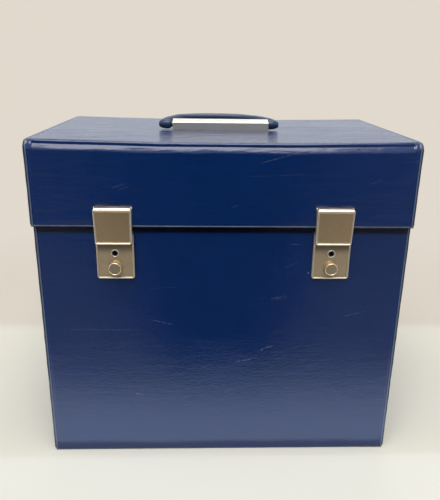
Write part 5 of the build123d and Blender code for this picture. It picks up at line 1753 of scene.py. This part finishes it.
LID_SCRATCHES = (
    Scratch((30, 57.5), (73, 69.5), 0.7, 0.6, 0.4), Scratch((-102, 34.5), (-87, 39.5), 0.9, 0.32),
    Scratch((-97, 32.5), (-84, 37.0), 0.8, 0.26), Scratch((5.5, 17), (14, 20), 0.7, 0.32),
    Scratch((129, 39), (144, 45), 0.7, 0.28), Scratch((20, 46), (77, 48.6), 0.6, 0.2))
BODY_SCRATCHES = (
    Scratch((-72.5, 153), (-47, 147), 0.8, 0.68), Scratch((12, 105.5), (37, 111.5), 0.9, 1, -1.0),
    Scratch((36.5, 117), (53, 124), 1.1, 1, 1.2), Scratch((53, 107.4), (69.5, 114.2), 0.8, 0.4),
    Scratch((116, 155), (142, 162), 0.8, 0.48), Scratch((-166, 141.8), (-74, 141.6), 0.6, 0.4),
    Scratch((-89, 68.6), (-79.5, 68.5), 1.0, 0.84), Scratch((-169, 61.5), (-109, 93), 0.7, 0.26, 1.0),
    Scratch((46, 174), (63, 177), 2.6, 0.32), Scratch((62, 230.8), (74, 230.3), 0.8, 0.52),
    Scratch((80.4, 202), (82.6, 202.1), 1.3, 1), Scratch((58, 206.5), (74, 214), 0.7, 0.24),
    Scratch((44, 134.5), (97, 154.5), 0.7, 0.2, 2.0), Scratch((-73, 185.5), (-41, 187), 0.6, 0.24))


def slot_finishes() -> dict[Slot, Metal | Fibre | Plastic | Vinyl]:
    """The finish of each of the record's material slots."""
    return {
        Slot.SATIN: Metal("satin nickel", (0.78, 0.66, 0.49), (0.62, 0.50, 0.35), 0.42),
        Slot.BRIGHT: Metal("bright nickel", (0.86, 0.81, 0.72), (0.7, 0.62, 0.5), 0.34),
        Slot.STEEL: Metal("zinc-plated steel", (0.62, 0.63, 0.64), (0.42, 0.42, 0.42), 0.38, size=9.0),
        Slot.SPRING: Metal("spring wire", (0.4, 0.4, 0.41), (0.25, 0.24, 0.23), 0.32),
        Slot.BOARD: Fibre("greyboard", (0.40, 0.37, 0.31), (0.22, 0.19, 0.15), 3.0, 0.05),
        Slot.LINING: Fibre("lining paper", (0.15, 0.19, 0.27), (0.22, 0.26, 0.34), 14.0, 0.04),
        Slot.PLASTIC: Plastic("grip plastic"),
        Slot.VINYL: Vinyl("blue vinyl"),
        Slot.SEAM: Vinyl("welded vinyl edge", colour=(0.0016, 0.010, 0.045), worn_and_highlight=(0.16, 0.20, 0.28), rough=0.4,
                         depth=0.5)}


def latch_finishes() -> dict[str, Metal]:
    """Finishes of single metal pieces: most have aged each in its own way, the hasp bases' darker nickel is painted
    shade, and the rims' brighter nickel is partly a painted highlight.
    """
    return {
        # The key plug's keyway is painted black as shade.
        "plug": Metal("nickel key plug", (0.80, 0.74, 0.62), (0.6, 0.52, 0.42), 0.34, hollow=(-0.10585, -0.10565)),
        # The lock plate carries a painted shade band under the hasp.
        "plate": Metal("filmed nickel", (0.50, 0.40, 0.265), (0.39, 0.30, 0.19), 0.42, size=9.0, metallic=0.55,
                       painted_shade_band=(0.2205, 0.2300)),
        # A darker copy of the nickel: painted shade on the hasp bases that sit under the covers.
        "shaded": Metal("darkened nickel", (0.30, 0.26, 0.19), (0.22, 0.18, 0.13), 0.5),
        # A brighter copy of the nickel for the plates' rims: partly rubbed plating, partly a painted highlight.
        "rim": Metal("rubbed and highlit nickel rim", (0.84, 0.74, 0.55), (0.66, 0.55, 0.38), 0.4),
        "cap": Metal("nickel button cap", (0.76, 0.61, 0.42), (0.58, 0.45, 0.30), 0.4),
        "rail": Metal("brushed steel channel", (0.66, 0.635, 0.565), (0.52, 0.49, 0.42), 0.42, size=14.0),
        # The hasp covers' marked edges take a paler colour: partly rubbed plating, partly a painted highlight.
        "cover": Metal("tarnished nickel", (0.74, 0.54, 0.315), (0.50, 0.35, 0.19), 0.42, size=11.0,
                       bare_and_highlight=(0.82, 0.74, 0.58))}


def main() -> None:
    """Builds and dresses the case, piece by piece."""
    logging.basicConfig(level=logging.INFO, format="%(name)s: %(message)s")
    Studio().build()
    effects = Effects()
    materials = {slot: finish.material(effects) for slot, finish in slot_finishes().items()}
    lid_vinyl = Vinyl("blue vinyl of the lid", waves=0.85, scratches=LID_SCRATCHES).material(effects)
    # The body's vinyl carries a painted shade band just under the lid's edge.
    body_vinyl = Vinyl("blue vinyl of the body", scratches=BODY_SCRATCHES,
                       painted_shade_band=(239.5, 243.0)).material(effects)
    for part in frame["record"]["subparts"]:
        slot = Slot(part["material_slot"])
        dress(frame["nodes"][part["node"]], materials[slot])

    lid = LidCovering(LidForm())
    LOG.info(lid.build_wrap(lid_vinyl).name)
    body = BodyCovering()
    LOG.info(body.build_wrap(body_vinyl).name)
    seams = Seams()
    for side in (-1, 1):
        for piece in (lid.side_cover(side, materials[Slot.VINYL]), body.side_cover(side, materials[Slot.VINYL]),
                      seams.lid_seam(side, materials[Slot.SEAM]), seams.body_seam(side, materials[Slot.SEAM])):
            LOG.info(piece.name)
    LOG.info(seams.rim_flange(materials[Slot.SEAM]).name)
    LOG.info(HingeStrip().build(materials[Slot.VINYL]).name)
    LOG.info(Grip().build(materials[Slot.PLASTIC]).name)
    metals = {name: finish.material(effects) for name, finish in latch_finishes().items()}
    dress(frame["nodes"]["handle_channel"], metals["rail"])
    for side in (-1, 1):
        name = side_name(side)
        dress(frame["nodes"][f"{name}_key_plug"], metals["plug"])
        dress(frame["nodes"][f"{name}_lock_plate"], metals["plate"])
        dress(frame["nodes"][f"{name}_button"], metals["cap"])
        # The hasp base takes the darker copy of the nickel as painted shade.
        dress(frame["nodes"][f"{name}_hasp_base"], metals["shaded"])
        face = LockFace(side)
        for piece in (Hasp(side).build(metals["cover"]), face.build_rim(metals["rim"]),
                      face.build_ring(materials[Slot.BRIGHT])):
            LOG.info(piece.name)


if __name__ == "__main__":
    main()
